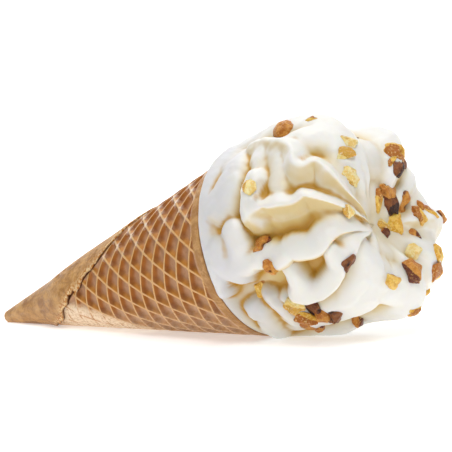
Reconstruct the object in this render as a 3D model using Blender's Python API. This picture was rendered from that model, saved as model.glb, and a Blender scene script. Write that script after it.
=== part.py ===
"""A waffle cone lying on its side, filled with piped vanilla cream and scattered with chopped nuts.

Two pieces: the rolled wafer with its waffle relief and its spiral seam, and the cream, which fills
the wafer and swells into a piped rosette with the nuts pressed into it. Lengths are in metres,
+Z is up, and +X runs from the tip of the wafer to the cream. The origin is on the floor, under the
middle of the whole.

The cone is laid down so that one of its straight lines touches the floor. A place on it is given by
its slant distance from the sharp point, by its angle round the axis (0 on the near side, 90 on top)
and by its lift off the wafer's outer surface. A place on the cream is given by the same angle and
by its way, which is 0 at the heart of the rosette and 1 at the wafer's rim.
"""

import math
import random
from typing import NamedTuple

import bmesh
import bpy
import numpy as np
from mathutils import Matrix, Vector

MM = 0.001

# ---------------------------------------------------------------- driving dimensions
RIM_RADIUS = 27.0 * MM
SLANT = 124.0 * MM
WALL = 2.4 * MM
GAP = 0.3 * MM                   # between the wafer and the cream
SETTLE = 0.15 * MM               # how far the lowest line is flattened by its rest on the floor
TOUCH = 0.03 * MM                # what is this near the floor lies on it
CENTRE_X = 88.89 * MM            # from the sharp point to the middle of the whole, along the floor
CENTRE_Y = 1.24 * MM             # sideways, away from the near side

HALF_ANGLE = math.asin(RIM_RADIUS / SLANT)
SHEET_ANGLE = 2.0 * math.pi * math.sin(HALF_ANGLE)      # the wafer, unrolled flat

# ---------------------------------------------------------------- wafer
TIP_SLANT = 9.0 * MM
INNER_TIP_SLANT = 17.0 * MM
INNER_SIDES = 40
RIM_BAND = 3.7 * MM              # plain edge round the mouth
SEAM_REACH = 23.2 * MM           # the seam's edge, unrolled, is a straight line this near the point
SEAM_FOOT = math.radians(-63.9)  # direction of its nearest place to the point
SEAM_BEND = math.radians(8.0)    # by which it turns off that line further out
SEAM_BEND_START = 66.0 * MM
SEAM_BEND_END = 94.0 * MM
SEAM_START = 28.0 * MM
SEAM_FULL = 42.0 * MM            # slant from which the flap has its full thickness
SEAM_STEPS = 8                   # rings between the start of the seam and the waffle pattern
TIP_MIDDLE = 17.0 * MM           # ring between the start of the seam and the blunt end
INNER_MIDDLE = 68.0 * MM         # ring between the mouth and the inner end
FLAP = 1.3 * MM
FLAP_LEFT = 0.45                 # share of it that is left further out
FLAP_THIN_START = 46.0 * MM
FLAP_THIN_END = 74.0 * MM
FLAP_RAMP = 0.42                 # share of a turn over which the wafer rises onto the flap
FLAP_STEPS = 4                   # strips of the flap's plain border
PLAIN_FLAP = math.radians(13.0)  # smooth border of the flap, in the unrolled sheet
PLAIN_START = math.radians(0.9)
PATTERN_START = 43.0 * MM
RIB_WIDTH = 0.9 * MM
PIT_SLOPE = 0.8 * MM
PIT_DEPTH = 1.35 * MM
LEAST_CELL = 0.42                # share of a whole cell that a cut one needs for its pit
LEAST_RELIEF = 0.12              # share of the full depth under which a pit is left out
FADE_SLANT = 46.0 * MM           # where the relief fades toward the tip
FADE_MORE = 38.0 * MM            # how much further out it does so on the underside
FADE_SIDE = math.radians(-95.0)  # the angle where that is most
FADE_BEFORE = 8.0 * MM
FADE_AFTER = 9.0 * MM
# directions across the two families of ribs in the unrolled sheet, their spacing and their offset
RIBS_A = (math.radians(51.0), 6.06 * MM, -1.74 * MM)
RIBS_B = (math.radians(154.8), 5.56 * MM, -0.81 * MM)

# ---------------------------------------------------------------- cream
PLUG_END = 22.0 * MM             # slant at which the filling ends, deep in the cone
PLUG_SIDES = 40
HEAD_RADIUS = 29.8 * MM
HEAD_SHOULDER = 146.0 * MM       # height along the axis where the sides turn into the front
HEAD_FRONT = 168.9 * MM
HEAD_SQUARENESS = 2.87
RADIUS_UP = 0.8 * MM             # how much wider the head is on top
RADIUS_NEAR = -0.9 * MM          # and on the near side
SHOULDER_UP = -10.0 * MM         # how much further its shoulder lies on top
SHOULDER_NEAR = -4.0 * MM        # and on the near side
FRONT_TILT = 0.09                # slope by which the front leans back on top
SHOULDER_TURN = 90.0             # the envelope's turn at the shoulder
RIM_TURN = 150.0                 # and at the rim
SIDE_BOW = 1.3                   # above 1 the sides bulge near the shoulder
HEART_DEPTH = 6.0 * MM
HEART_WIDTH = 11.0 * MM
HEART_SHIFT_UP = -3.2 * MM
HEART_SHIFT_AWAY = -1.5 * MM
HEART_CALM = 14.0 * MM           # radius inside which the folds lean less
VALLEY = 5.6 * MM                # depth of the floor from which the folds rise
VALLEY_WAYS = (1.06, 0.84)       # from where it sinks to where it has its full depth
HEART_RISE = 4.8 * MM            # what the folds level out to at the heart
HEART_WAYS = (0.20, 0.03)
EDGE_WAYS = (1.0, 0.955)         # over which the folds run out at the rim
LEAN_WAYS = (1.0, 0.9)
RIM_LIFT = -0.4 * MM             # where the cream meets the rim, against the wafer's outer surface
DEGREE = 0.45 * MM               # what one degree measures across the head
LENGTH = 62.0 * MM               # what the whole way measures along it
HEAD_TURNS = 216
HEAD_RINGS = 96
HEAD_TRIANGLES = 5200
FOLD_BLEND = 8                   # higher makes the creases between folds crisper
FOLD_STEPS = 6                   # straight pieces between two knots of a fold
ENVELOPE_STEPS = 500             # places at which the envelope's length is measured
FRAME_STEP = 0.006               # of a turn and of the way, between a nut's place and its neighbours
PLUG_MIDDLE = 62.0 * MM          # slant of a ring half way down the filling

# ---------------------------------------------------------------- nuts
NUT_SINK = 0.32                  # share of a nut's height that is pressed into the cream
NUT_HEIGHT = 0.8                 # share of its width
NUT_ROUGHNESS = 0.20
HIDDEN_NUTS = 26
HIDDEN_NUT_SIZE = (3.0, 5.0)     # millimetres
HIDDEN_WAYS = (0.30, 0.86)
SHOWN_SIDE = (-120.0, 96.0)      # angles that the placed nuts cover
GOLDEN_TURN = 137.508            # degrees from one nut of the spiral to the next
SPIRAL_DRIFT = 8.0               # degrees
SEED = 11

# ---------------------------------------------------------------- tolerances
CUT_NEAR = 0.02 * MM
MERGE_NEAR = 0.25 * MM
BORDER_NEAR = 0.3 * MM
CHART_NEAR = 0.01 * MM
TINY = 1e-9                      # keeps divisions clear of zero


class Fold(NamedTuple):
    """One piped fold of the cream; lengths in millimetres."""

    path: tuple                  # its crest: (angle in degrees, way, height above the valleys)
    upper: float                 # reach of the flank on the path's left: the larger angles, going in
    lower: float                 # reach of the flank on its right
    upper_curve: float           # below 1 a full, round flank; above 1 a hollow one
    lower_curve: float
    lean: float = 0.0            # overhang of the crest to the right


class Nut(NamedTuple):
    """One chopped nut; angle in degrees, sizes in millimetres, turn in degrees."""

    angle: float
    way: float
    length: float
    width: float
    turn: float
    kind: str


FOLDS = (
    # the collar: a band along the rim, its upper lobe, the tongue and the lower tip
    Fold(((78, 0.96, 4.4), (40, 0.96, 4.6), (0, 0.97, 4.6), (-12, 0.975, 4.4)), 5.5, 6.0, 0.3, 0.3),
    Fold(((66, 0.88, 4.6), (52, 0.835, 5.6), (42, 0.82, 6.4), (32, 0.84, 6.8), (24, 0.865, 6.8)),
         5.6, 5.8, 0.35, 0.35),
    Fold(((-10, 0.83, 6.4), (-2, 0.815, 7.2), (7, 0.815, 7.6)), 4.4, 4.4, 0.4, 0.4, 0.6),
    Fold(((2, 0.90, 6.0), (-9, 0.89, 6.6), (-15, 0.86, 6.4)), 4.4, 4.4, 0.4, 0.4),
    Fold(((-8, 0.945, 5.2), (-17, 0.955, 5.6), (-24, 0.97, 5.8)), 2.6, 2.3, 0.35, 0.35, -0.5),
    Fold(((-6, 0.85, 6.2), (-12.5, 0.84, 6.6), (-13, 0.80, 6.8), (-11, 0.75, 6.6), (-11, 0.71, 6.8)),
         3.6, 3.0, 0.4, 0.35, 1.2),
    # crescents under the collar
    Fold(((-44, 0.90, 4.0), (-56, 0.895, 4.4), (-70, 0.93, 4.6), (-84, 0.95, 4.2)), 3.4, 4.0, 0.6, 0.6),
    Fold(((-38, 0.80, 4.8), (-50, 0.79, 5.4), (-66, 0.82, 5.4), (-80, 0.86, 4.8)), 2.6, 4.4, 0.6, 0.9, -0.6),
    Fold(((-42, 0.72, 5.4), (-52, 0.715, 6.0), (-66, 0.73, 5.8), (-76, 0.77, 5.2)),
         2.4, 4.4, 0.6, 0.9, -0.6),
    # the upper ribbon, the two panels that hang from it and the soft fold above it
    Fold(((64, 0.76, 5.6), (60, 0.68, 7.0), (55, 0.58, 7.7), (50.5, 0.515, 8.0), (45, 0.485, 7.9),
          (39, 0.475, 7.7), (36.5, 0.455, 7.6), (39.5, 0.43, 7.8), (41, 0.40, 8.0), (38, 0.36, 8.0),
          (32, 0.315, 7.7), (23.5, 0.235, 6.6), (14, 0.04, 5.6)), 9.0, 12.0, 1.4, 1.35, 1.2),
    Fold(((50, 0.585, 6.0), (40, 0.565, 5.7), (22, 0.565, 4.8)), 6.0, 6.0, 0.9, 0.9),
    Fold(((56, 0.68, 6.0), (46, 0.67, 5.7), (36, 0.66, 5.0)), 6.0, 6.6, 0.8, 0.9),
    Fold(((60, 0.54, 5.8), (66, 0.49, 6.4), (70, 0.44, 6.8), (71, 0.38, 6.8), (66, 0.30, 6.2),
          (58, 0.18, 5.4)), 8.0, 10.5, 0.8, 0.9),
    # the middle fold and the bulb that it ends in
    Fold(((12, 0.70, 7.4), (15, 0.67, 7.7), (16.5, 0.625, 7.7), (16.5, 0.57, 7.6), (16, 0.49, 7.6),
          (18.5, 0.445, 8.4), (17, 0.395, 8.1), (13.5, 0.32, 7.5), (9.5, 0.22, 6.4), (5, 0.04, 5.6)),
         3.4, 8.0, 0.9, 1.5, 2.0),
    Fold(((17, 0.69, 7.6), (25, 0.68, 8.0), (31, 0.665, 7.8)), 4.6, 4.0, 0.4, 0.4),
    # the lower middle fold, with its torn edge
    Fold(((-10, 0.675, 6.6), (-11, 0.61, 7.0), (-9.0, 0.56, 6.6), (-10.5, 0.50, 7.0), (-10.5, 0.455, 7.0),
          (-4.5, 0.40, 6.6), (-2, 0.33, 6.2), (-3, 0.20, 5.8), (-6, 0.04, 5.6)),
         3.8, 3.6, 0.6, 0.45, 3.0),
    # the fold below: its left face, its right face and the lip that joins them
    Fold(((-21, 0.615, 5.6), (-32, 0.615, 6.6)), 3.6, 3.6, 0.5, 0.5, 0.0),
    Fold(((-17, 0.405, 5.8), (-27, 0.41, 6.6)), 3.2, 3.4, 0.5, 0.5, 0.0),
    Fold(((-35, 0.665, 6.0), (-37, 0.60, 6.7), (-36.5, 0.53, 6.8), (-32, 0.46, 6.8), (-24, 0.38, 6.8),
          (-13.5, 0.29, 6.2), (-9, 0.20, 5.8), (-10, 0.04, 5.6)), 2.9, 2.4, 1.0, 0.4, 2.6),
    # small lobes under it, and the smooth mass to the right
    Fold(((-56, 0.60, 4.8), (-51, 0.46, 5.6), (-46, 0.37, 5.2)), 3.4, 3.4, 0.7, 0.7, 0.8),
    Fold(((-74, 0.80, 5.2), (-60, 0.50, 5.0), (-42, 0.28, 4.6), (-35, 0.04, 4.8)), 10.0, 10.0, 1.0, 0.8),
    Fold(((160, 0.26, 4.6), (-165, 0.30, 5.0), (-125, 0.32, 5.0), (-85, 0.32, 4.8), (-60, 0.26, 4.4)),
         10.0, 11.0, 0.6, 0.8),
    Fold(((150, 0.06, 4.6), (-150, 0.08, 4.6), (-70, 0.08, 4.4)), 8.0, 8.0, 0.5, 0.5),
    # over the top and round the far side
    Fold(((80, 1.06, 4.2), (80, 0.76, 4.2)), 8.0, 8.0, 0.75, 0.75),
    Fold(((93, 0.86, 7.0), (88, 0.5, 7.0), (76, 0.20, 5.6), (60, 0.04, 4.0)), 9.5, 12.0, 1.2, 1.0),
    Fold(((128, 1.06, 4.4), (128, 0.84, 4.4)), 13.0, 13.0, 0.5, 0.5),
    Fold(((138, 0.84, 9.4), (133, 0.48, 9.2), (128, 0.22, 7.0), (128, 0.04, 4.0)), 12.5, 12.0, 1.2, 1.2),
    Fold(((162, 0.84, 6.0), (156, 0.30, 5.0), (156, 0.04, 4.0)), 9.5, 9.5, 1.0, 1.0),
    Fold(((-176, 1.06, 4.8), (-176, 0.84, 4.8)), 13.0, 13.0, 0.5, 0.5),
    Fold(((-168, 0.84, 9.2), (-168, 0.48, 8.8), (-168, 0.22, 6.0), (-168, 0.04, 4.0)),
         11.5, 10.5, 1.2, 1.2),
    Fold(((-138, 0.84, 8.0), (-136, 0.48, 7.8), (-134, 0.22, 6.0), (-134, 0.04, 4.0)),
         11.0, 11.0, 1.0, 1.0),
    Fold(((-106, 1.06, 9.3), (-106, 0.80, 9.3)), 10.8, 10.8, 0.5, 0.5),
    Fold(((-115, 0.86, 7.6), (-104, 0.50, 7.4), (-96, 0.22, 5.8), (-90, 0.04, 4.0)), 10.5, 12.0, 1.2, 1.1),
)

NUTS = (
    # over the top
    Nut(75, 0.652, 5.6, 4.6, 60, "brown"),
    Nut(81, 0.532, 2.8, 2.0, 0, "gold"),
    Nut(72, 0.324, 4.9, 3.6, 0, "pale"),
    Nut(60, 0.308, 4.9, 3.2, 10, "pale"),
    Nut(46, 0.244, 5.0, 4.5, 20, "pale"),
    Nut(12, 0.268, 3.4, 2.8, 70, "pale"),
    Nut(26, 0.66, 3.4, 3.0, 80, "pale"),
    # the far lobe
    Nut(124, 0.284, 5.4, 4.4, 20, "gold"),
    Nut(127, 0.220, 5.0, 2.6, 130, "dark"),
    Nut(121, 0.244, 3.8, 1.8, 120, "gold"),
    # the cluster at the heart
    Nut(133, 0.132, 6.6, 4.4, 20, "brown"),
    Nut(152, 0.116, 5.4, 4.2, 75, "dark"),
    Nut(170, 0.172, 6.0, 4.2, 110, "brown"),
    Nut(111, 0.084, 5.6, 3.4, 80, "gold"),
    Nut(-163, 0.036, 4.0, 3.6, 30, "pale"),
    Nut(-124, 0.052, 3.0, 2.6, 30, "brown"),
    Nut(-167, 0.092, 5.8, 4.0, 90, "gold"),
    # the front, right of the heart
    Nut(-174, 0.212, 5.6, 3.4, 80, "gold"),
    Nut(179, 0.252, 2.8, 2.0, 60, "brown"),
    Nut(-175, 0.284, 4.8, 2.2, 60, "gold"),
    Nut(-151, 0.180, 6.0, 3.0, 75, "brown"),
    Nut(-121, 0.188, 4.4, 4.0, 20, "pale"),
    Nut(-95, 0.244, 6.0, 4.8, 50, "brown"),
    Nut(-68, 0.300, 5.0, 3.8, 10, "gold"),
    Nut(-137, 0.316, 5.2, 3.6, 60, "gold"),
    Nut(-126, 0.356, 5.8, 3.6, 70, "gold"),
    Nut(-100, 0.436, 4.2, 3.2, 0, "gold"),
    # under the lower fold
    Nut(-28.5, 0.385, 4.4, 3.0, 80, "dark"),
    Nut(-44, 0.700, 5.4, 4.4, 20, "pale"),
    Nut(-54, 0.670, 5.6, 5.2, 30, "dark"),
    Nut(-60, 0.660, 5.0, 4.4, 40, "brown"),
    Nut(-57, 0.712, 5.6, 3.8, 15, "gold"),
    Nut(-63, 0.612, 5.6, 5.2, 70, "dark"),
    Nut(-70, 0.780, 4.0, 3.0, 30, "brown"),
    Nut(-77, 0.764, 3.6, 2.8, 60, "brown"),
    Nut(-96, 0.668, 4.2, 4.0, 60, "brown"),
    # the collar
    Nut(-32, 0.850, 5.8, 4.8, 60, "gold"),
    Nut(-3, 0.705, 5.4, 4.4, 80, "brown"),
    Nut(-13, 0.672, 4.4, 4.0, 40, "brown"),
)


# ---------------------------------------------------------------- the cone's coordinates
AXIS = np.array([math.cos(HALF_ANGLE), 0.0, math.sin(HALF_ANGLE)])
UPWARD = np.array([-math.sin(HALF_ANGLE), 0.0, math.cos(HALF_ANGLE)])
AWAY = np.array([0.0, 1.0, 0.0])
START = np.array([-CENTRE_X, -CENTRE_Y, -SETTLE])       # the sharp point


def smooth(low, high, value):
    """A smooth step from 0 at low to 1 at high."""
    share = np.clip((value - low) / (high - low), 0.0, 1.0)
    return share * share * (3.0 - 2.0 * share)


def wrapped(degrees):
    """The same angle between -180 and 180 degrees."""
    return (degrees + 180.0) % 360.0 - 180.0


def outward(angle):
    """Unit vectors straight out from the axis, at angles in radians."""
    return np.multiply.outer(np.sin(angle), UPWARD) - np.multiply.outer(np.cos(angle), AWAY)


def along_and_out(height, radius, angle):
    """Points at a height along the axis and a radius from it."""
    height = np.asarray(height)[..., None]
    radius = np.asarray(radius)[..., None]
    return START + height * AXIS + radius * outward(angle)


def on_cone(slant, angle, lift=0.0):
    """Points at a slant distance from the sharp point, lifted off the wafer's outer surface."""
    height = slant * math.cos(HALF_ANGLE) - lift * math.sin(HALF_ANGLE)
    radius = slant * math.sin(HALF_ANGLE) + lift * math.cos(HALF_ANGLE)
    return along_and_out(height, radius, angle)


def rest_on_floor(points):
    """Flatten what would lie on or below the floor."""
    points = np.array(points)
    points[..., 2] = np.where(points[..., 2] < TOUCH, 0.0, points[..., 2])
    return points


def new_object(name, bm, *materials):
    """Turn a bmesh into a named object with its materials."""
    mesh = bpy.data.meshes.new(name)
    bm.to_mesh(mesh)
    bm.free()
    for finish in materials:
        mesh.materials.append(finish)
    obj = bpy.data.objects.new(name, mesh)
    bpy.context.scene.collection.objects.link(obj)
    return obj


def material(name, colour, roughness):
    """A plain material with one colour."""
    finish = bpy.data.materials.new(name)
    finish.use_nodes = True
    shader = finish.node_tree.nodes["Principled BSDF"]
    shader.inputs["Base Color"].default_value = (*colour, 1.0)
    shader.inputs["Roughness"].default_value = roughness
    shader.inputs["Metallic"].default_value = 0.0
    return finish


def wafer_material():
    """Baked wafer, caramel brown."""
    return material("wafer", (0.56, 0.31, 0.12), 0.62)


def cream_material():
    """Vanilla cream, ivory white."""
    return material("cream", (0.90, 0.85, 0.70), 0.42)


def nut_materials():
    """One material for each kind of chopped nut."""
    return {
        "brown": material("nut_brown", (0.36, 0.13, 0.04), 0.50),
        "gold": material("nut_gold", (0.78, 0.47, 0.12), 0.48),
        "pale": material("nut_pale", (0.86, 0.66, 0.26), 0.48),
        "dark": material("nut_dark", (0.09, 0.035, 0.02), 0.50),
    }


# ---------------------------------------------------------------- the wafer
def seam_direction(slant):
    """Direction of the seam's edge in the unrolled sheet, at a slant distance."""
    bend = SEAM_BEND * float(smooth(SEAM_BEND_START, SEAM_BEND_END, slant))
    return SEAM_FOOT + math.acos(min(1.0, SEAM_REACH / slant)) + bend


def to_chart(point):
    """Unrolled x, y to slant distance and angle below the seam's edge."""
    slant = math.hypot(point.x, point.y)
    return slant, seam_direction(slant) - math.atan2(point.y, point.x)


def to_sheet(slant, below):
    """Slant distance and angle below the seam's edge to unrolled x, y."""
    direction = seam_direction(slant) - below
    return Vector((slant * math.cos(direction), slant * math.sin(direction), 0.0))


def relief_share(slant, below):
    """How deep the waffle is pressed at a place: fading to the tip and to the underside."""
    angle = (seam_direction(slant) - below) / math.sin(HALF_ANGLE)
    fade_slant = FADE_SLANT + FADE_MORE * max(0.0, math.cos(angle - FADE_SIDE))
    return float(smooth(fade_slant - FADE_BEFORE, fade_slant + FADE_AFTER, slant))


def flap_lift(slant, below):
    """Rise of the wafer onto its own first turn, toward the seam's outer edge."""
    rise = float(smooth(1.0 - FLAP_RAMP, 1.0, below / SHEET_ANGLE))
    thinner = 1.0 - (1.0 - FLAP_LEFT) * float(smooth(FLAP_THIN_START, FLAP_THIN_END, slant))
    return FLAP * rise * thinner * float(smooth(SEAM_START, SEAM_FULL, slant))


def lattice_point(row, column):
    """Crossing of two ribs in the unrolled sheet."""
    across = np.array([[math.cos(family[0]), math.sin(family[0])] for family in (RIBS_A, RIBS_B)])
    offsets = np.array([RIBS_A[2] + row * RIBS_A[1], RIBS_B[2] + column * RIBS_B[1]])
    x, y = np.linalg.solve(across, offsets)
    return Vector((x, y, 0.0))


def add_lattice(bm):
    """Lay one quad between each four crossings over the patterned part of the sheet."""
    corners = {}
    reach = int(1.3 * SLANT / RIBS_B[1])
    for row in range(-reach, reach):
        for column in range(-reach, reach):
            keys = ((row, column), (row + 1, column), (row + 1, column + 1), (row, column + 1))
            places = [lattice_point(*key) for key in keys]
            slant, below = to_chart(sum(places, Vector()) / 4.0)
            near_slant = PATTERN_START - RIBS_A[1] < slant < SLANT - RIM_BAND + RIBS_A[1]
            margin = RIBS_A[1] / slant
            if not near_slant or not -margin < below - PLAIN_START < SHEET_ANGLE - PLAIN_FLAP + margin:
                continue
            for key, place in zip(keys, places):
                if key not in corners:
                    corners[key] = bm.verts.new(place)
            bm.faces.new([corners[key] for key in keys])


def trim_lattice(bm):
    """Cut the lattice, in slant and angle, to the patterned part of the sheet."""
    for vert in bm.verts:
        slant, below = to_chart(vert.co)
        vert.co = (slant, below * SLANT, 0.0)
    cuts = (
        ((SLANT - RIM_BAND, 0, 0), (1, 0, 0)),
        ((PATTERN_START, 0, 0), (-1, 0, 0)),
        ((0, (SHEET_ANGLE - PLAIN_FLAP) * SLANT, 0), (0, 1, 0)),
        ((0, PLAIN_START * SLANT, 0), (0, -1, 0)),
    )
    for place, normal in cuts:
        everything = bm.verts[:] + bm.edges[:] + bm.faces[:]
        bmesh.ops.bisect_plane(bm, geom=everything, plane_co=place, plane_no=normal,
                               clear_outer=True, dist=CUT_NEAR)
    bmesh.ops.remove_doubles(bm, verts=bm.verts, dist=MERGE_NEAR)


def border_edges(bm, index, value):
    """Border edges of the trimmed sheet on the side where a chart coordinate has a value."""
    return [edge for edge in bm.edges
            if edge.is_boundary and all(abs(v.co[index] - value) < BORDER_NEAR for v in edge.verts)]


def grow_side(bm, index, targets):
    """Widen the sheet by plain strips, in steps, on one side of the chart."""
    values = [vert.co[index] for vert in bm.verts]
    value = max(values) if targets[0] > max(values) else min(values)
    for target in targets:
        grown = bmesh.ops.extrude_edge_only(bm, edges=border_edges(bm, index, value))
        for item in grown["geom"]:
            if isinstance(item, bmesh.types.BMVert):
                item.co[index] = target
        value = target


def press_pits(bm, cells):
    """Press a pit into each whole cell, with flat rib tops left between them."""
    full_cell = RIBS_A[1] * RIBS_B[1] / abs(math.sin(RIBS_B[0] - RIBS_A[0]))
    pits = []
    for face in cells:
        slant, below = to_chart(face.calc_center_median())
        if face.calc_area() > LEAST_CELL * full_cell and relief_share(slant, below) > LEAST_RELIEF:
            pits.append(face)
    bmesh.ops.inset_individual(bm, faces=pits, thickness=RIB_WIDTH / 2.0)
    bmesh.ops.inset_individual(bm, faces=pits, thickness=PIT_SLOPE)
    for face in pits:
        for vert in face.verts:
            slant, below = to_chart(vert.co)
            vert.co.z = -PIT_DEPTH * relief_share(slant, below)


def roll_up(bm):
    """Roll the unrolled sheet into the cone."""
    for vert in bm.verts:
        lift = vert.co.z
        slant, below = to_chart(vert.co)
        angle = (seam_direction(slant) - below) / math.sin(HALF_ANGLE)
        vert.co = on_cone(slant, angle, lift + flap_lift(slant, below))


def close_seam(bm, shared, inner, outer, slants):
    """Join the two sides of the seam with triangles, from the place where it starts outward."""
    inner = sorted(inner, key=slants.get)
    outer = sorted(outer, key=slants.get)
    bm.faces.new((shared, inner[0], outer[0]))
    i = 0
    j = 0
    while i + 1 < len(inner) or j + 1 < len(outer):
        step_inner = j + 1 == len(outer) or (
            i + 1 < len(inner) and slants[inner[i + 1]] <= slants[outer[j + 1]])
        ahead = inner[i + 1] if step_inner else outer[j + 1]
        bm.faces.new((inner[i], outer[j], ahead))
        i += step_inner
        j += not step_inner


def add_ring(bm, slant, lift, sides):
    """A ring of vertices round the axis."""
    turns = [2.0 * math.pi * side / sides for side in range(sides)]
    return [bm.verts.new(on_cone(slant, turn, lift)) for turn in turns]


def join_rings(bm, first, second):
    """Quads between two rings with the same number of vertices."""
    for side in range(len(first)):
        following = (side + 1) % len(first)
        bm.faces.new((first[side], first[following], second[following], second[side]))


def build_wafer():
    """The rolled wafer: relief outside, smooth inside, a blunt closed tip and a square rim."""
    bm = bmesh.new()
    add_lattice(bm)
    trim_lattice(bm)
    cells = list(bm.faces)
    flap_start = SHEET_ANGLE - PLAIN_FLAP
    grow_side(bm, 1, [(flap_start + PLAIN_FLAP * (step + 1) / FLAP_STEPS) * SLANT
                      for step in range(FLAP_STEPS)])
    grow_side(bm, 1, [0.0])
    grow_side(bm, 0, [SLANT])
    grow_side(bm, 0, list(np.linspace(PATTERN_START, SEAM_START, SEAM_STEPS)[1:]))
    for vert in bm.verts:
        vert.co = to_sheet(vert.co.x, vert.co.y / SLANT)
    bm.normal_update()
    for face in bm.faces:
        if face.normal.z < 0.0:
            face.normal_flip()
    press_pits(bm, cells)

    chart = {vert: to_chart(vert.co) for vert in bm.verts}
    slants = {vert: place[0] for vert, place in chart.items()}
    inner = [vert for vert, place in chart.items() if abs(place[1]) * SLANT < CHART_NEAR]
    outer = [vert for vert, place in chart.items() if abs(place[1] - SHEET_ANGLE) * SLANT < CHART_NEAR]
    start = [vert for vert, slant in slants.items() if abs(slant - SEAM_START) < CHART_NEAR]
    roll_up(bm)

    shared_inner = min(inner, key=slants.get)
    shared_outer = min(outer, key=slants.get)
    bmesh.ops.weld_verts(bm, targetmap={shared_outer: shared_inner})
    inner.remove(shared_inner)
    outer.remove(shared_outer)
    close_seam(bm, shared_inner, inner, outer, slants)
    start.remove(shared_outer)
    close_tip(bm, set(start))
    close_inside(bm)

    for vert in bm.verts:
        vert.co = rest_on_floor(vert.co)
    bmesh.ops.triangulate(bm, faces=bm.faces)
    bmesh.ops.recalc_face_normals(bm, faces=bm.faces)
    wafer = new_object("wafer_cone", bm, wafer_material())
    wafer.data.shade_smooth()
    wafer.data.set_sharp_from_angle(angle=math.radians(30.0))
    return wafer


def close_tip(bm, start):
    """Draw the plain tip from the start of the seam down to its blunt end."""
    edges = [edge for edge in bm.edges if edge.is_boundary and all(v in start for v in edge.verts)]
    before = SEAM_START
    for slant in (TIP_MIDDLE, TIP_SLANT):
        grown = bmesh.ops.extrude_edge_only(bm, edges=edges)["geom"]
        edges = [item for item in grown if isinstance(item, bmesh.types.BMEdge)]
        for item in grown:
            if isinstance(item, bmesh.types.BMVert):
                offset = item.co - Vector(START)
                item.co = Vector(START) + offset * (slant / before)
        before = slant
    bmesh.ops.contextual_create(bm, geom=edges)


def close_inside(bm):
    """Add the smooth inside and join it to the outside across the rim."""
    rim = [edge for edge in bm.edges if edge.is_boundary]
    slants = (SLANT, INNER_MIDDLE, INNER_TIP_SLANT)
    rings = [add_ring(bm, slant, -WALL, INNER_SIDES) for slant in slants]
    for first, second in zip(rings, rings[1:]):
        join_rings(bm, first, second)
    bm.faces.new(rings[-1])
    mouth = [edge for edge in bm.edges if edge.is_boundary and edge not in rim]
    bmesh.ops.bridge_loops(bm, edges=rim + mouth)


# ---------------------------------------------------------------- the cream
def envelope(angle, turn):
    """Height and radius of the head without its folds; angle in degrees, turn up to RIM_TURN."""
    up = math.sin(math.radians(angle))
    near = math.cos(math.radians(angle))
    radius = HEAD_RADIUS + RADIUS_UP * up + RADIUS_NEAR * near
    shoulder = HEAD_SHOULDER + SHOULDER_UP * up + SHOULDER_NEAR * near
    bow = np.radians(np.clip(turn, 0.0, SHOULDER_TURN))
    power = HEAD_SQUARENESS
    reach = ((np.sin(bow) / radius) ** power
             + (np.cos(bow) / (HEAD_FRONT - shoulder)) ** power) ** (-1.0 / power)
    out = reach * np.sin(bow)
    high = shoulder + reach * np.cos(bow) - FRONT_TILT * up * out * np.cos(bow)
    high = high - HEART_DEPTH * np.exp(-(out / HEART_WIDTH) ** 2)
    rim_slant = SLANT + GAP
    rim_height = rim_slant * math.cos(HALF_ANGLE) - RIM_LIFT * math.sin(HALF_ANGLE)
    rim_radius = rim_slant * math.sin(HALF_ANGLE) + RIM_LIFT * math.cos(HALF_ANGLE)
    side = np.clip((turn - SHOULDER_TURN) / (RIM_TURN - SHOULDER_TURN), 0.0, 1.0)
    on_side = turn > SHOULDER_TURN
    high = np.where(on_side, shoulder + (rim_height - shoulder) * side, high)
    out = np.where(on_side, radius + (rim_radius - radius) * side ** SIDE_BOW, out)
    return high, out


def even_envelope(angles, ways):
    """The envelope on a grid, with its rings evenly spaced from the heart to the rim."""
    turns = np.linspace(0.0, RIM_TURN, ENVELOPE_STEPS)
    high = np.empty((len(angles), len(ways)))
    out = np.empty_like(high)
    for row, angle in enumerate(angles):
        heights, radii = envelope(angle, turns)
        steps = np.hypot(np.diff(heights), np.diff(radii))
        lengths = np.concatenate(([0.0], np.cumsum(steps)))
        lengths = lengths / lengths[-1]
        high[row] = np.interp(ways, lengths, heights)
        out[row] = np.interp(ways, lengths, radii)
    return high, out


def crest_line(fold):
    """The smooth line through a fold's knots: across and along the head, and height."""
    knots = np.array(fold.path, float) * (DEGREE, LENGTH, MM)
    if len(knots) < 3:
        return knots
    ahead = np.vstack((2.0 * knots[0] - knots[1], knots, 2.0 * knots[-1] - knots[-2]))
    parts = np.linspace(0.0, 1.0, FOLD_STEPS, endpoint=False)[:, None]
    line = []
    for before, start, end, after in zip(ahead[:-3], ahead[1:-2], ahead[2:-1], ahead[3:]):
        line.append(start + 0.5 * parts * (end - before + parts * (
            2.0 * before - 5.0 * start + 4.0 * end - after
            + parts * (3.0 * (start - end) + after - before))))
    return np.vstack((*line, knots[-1:]))


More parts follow.
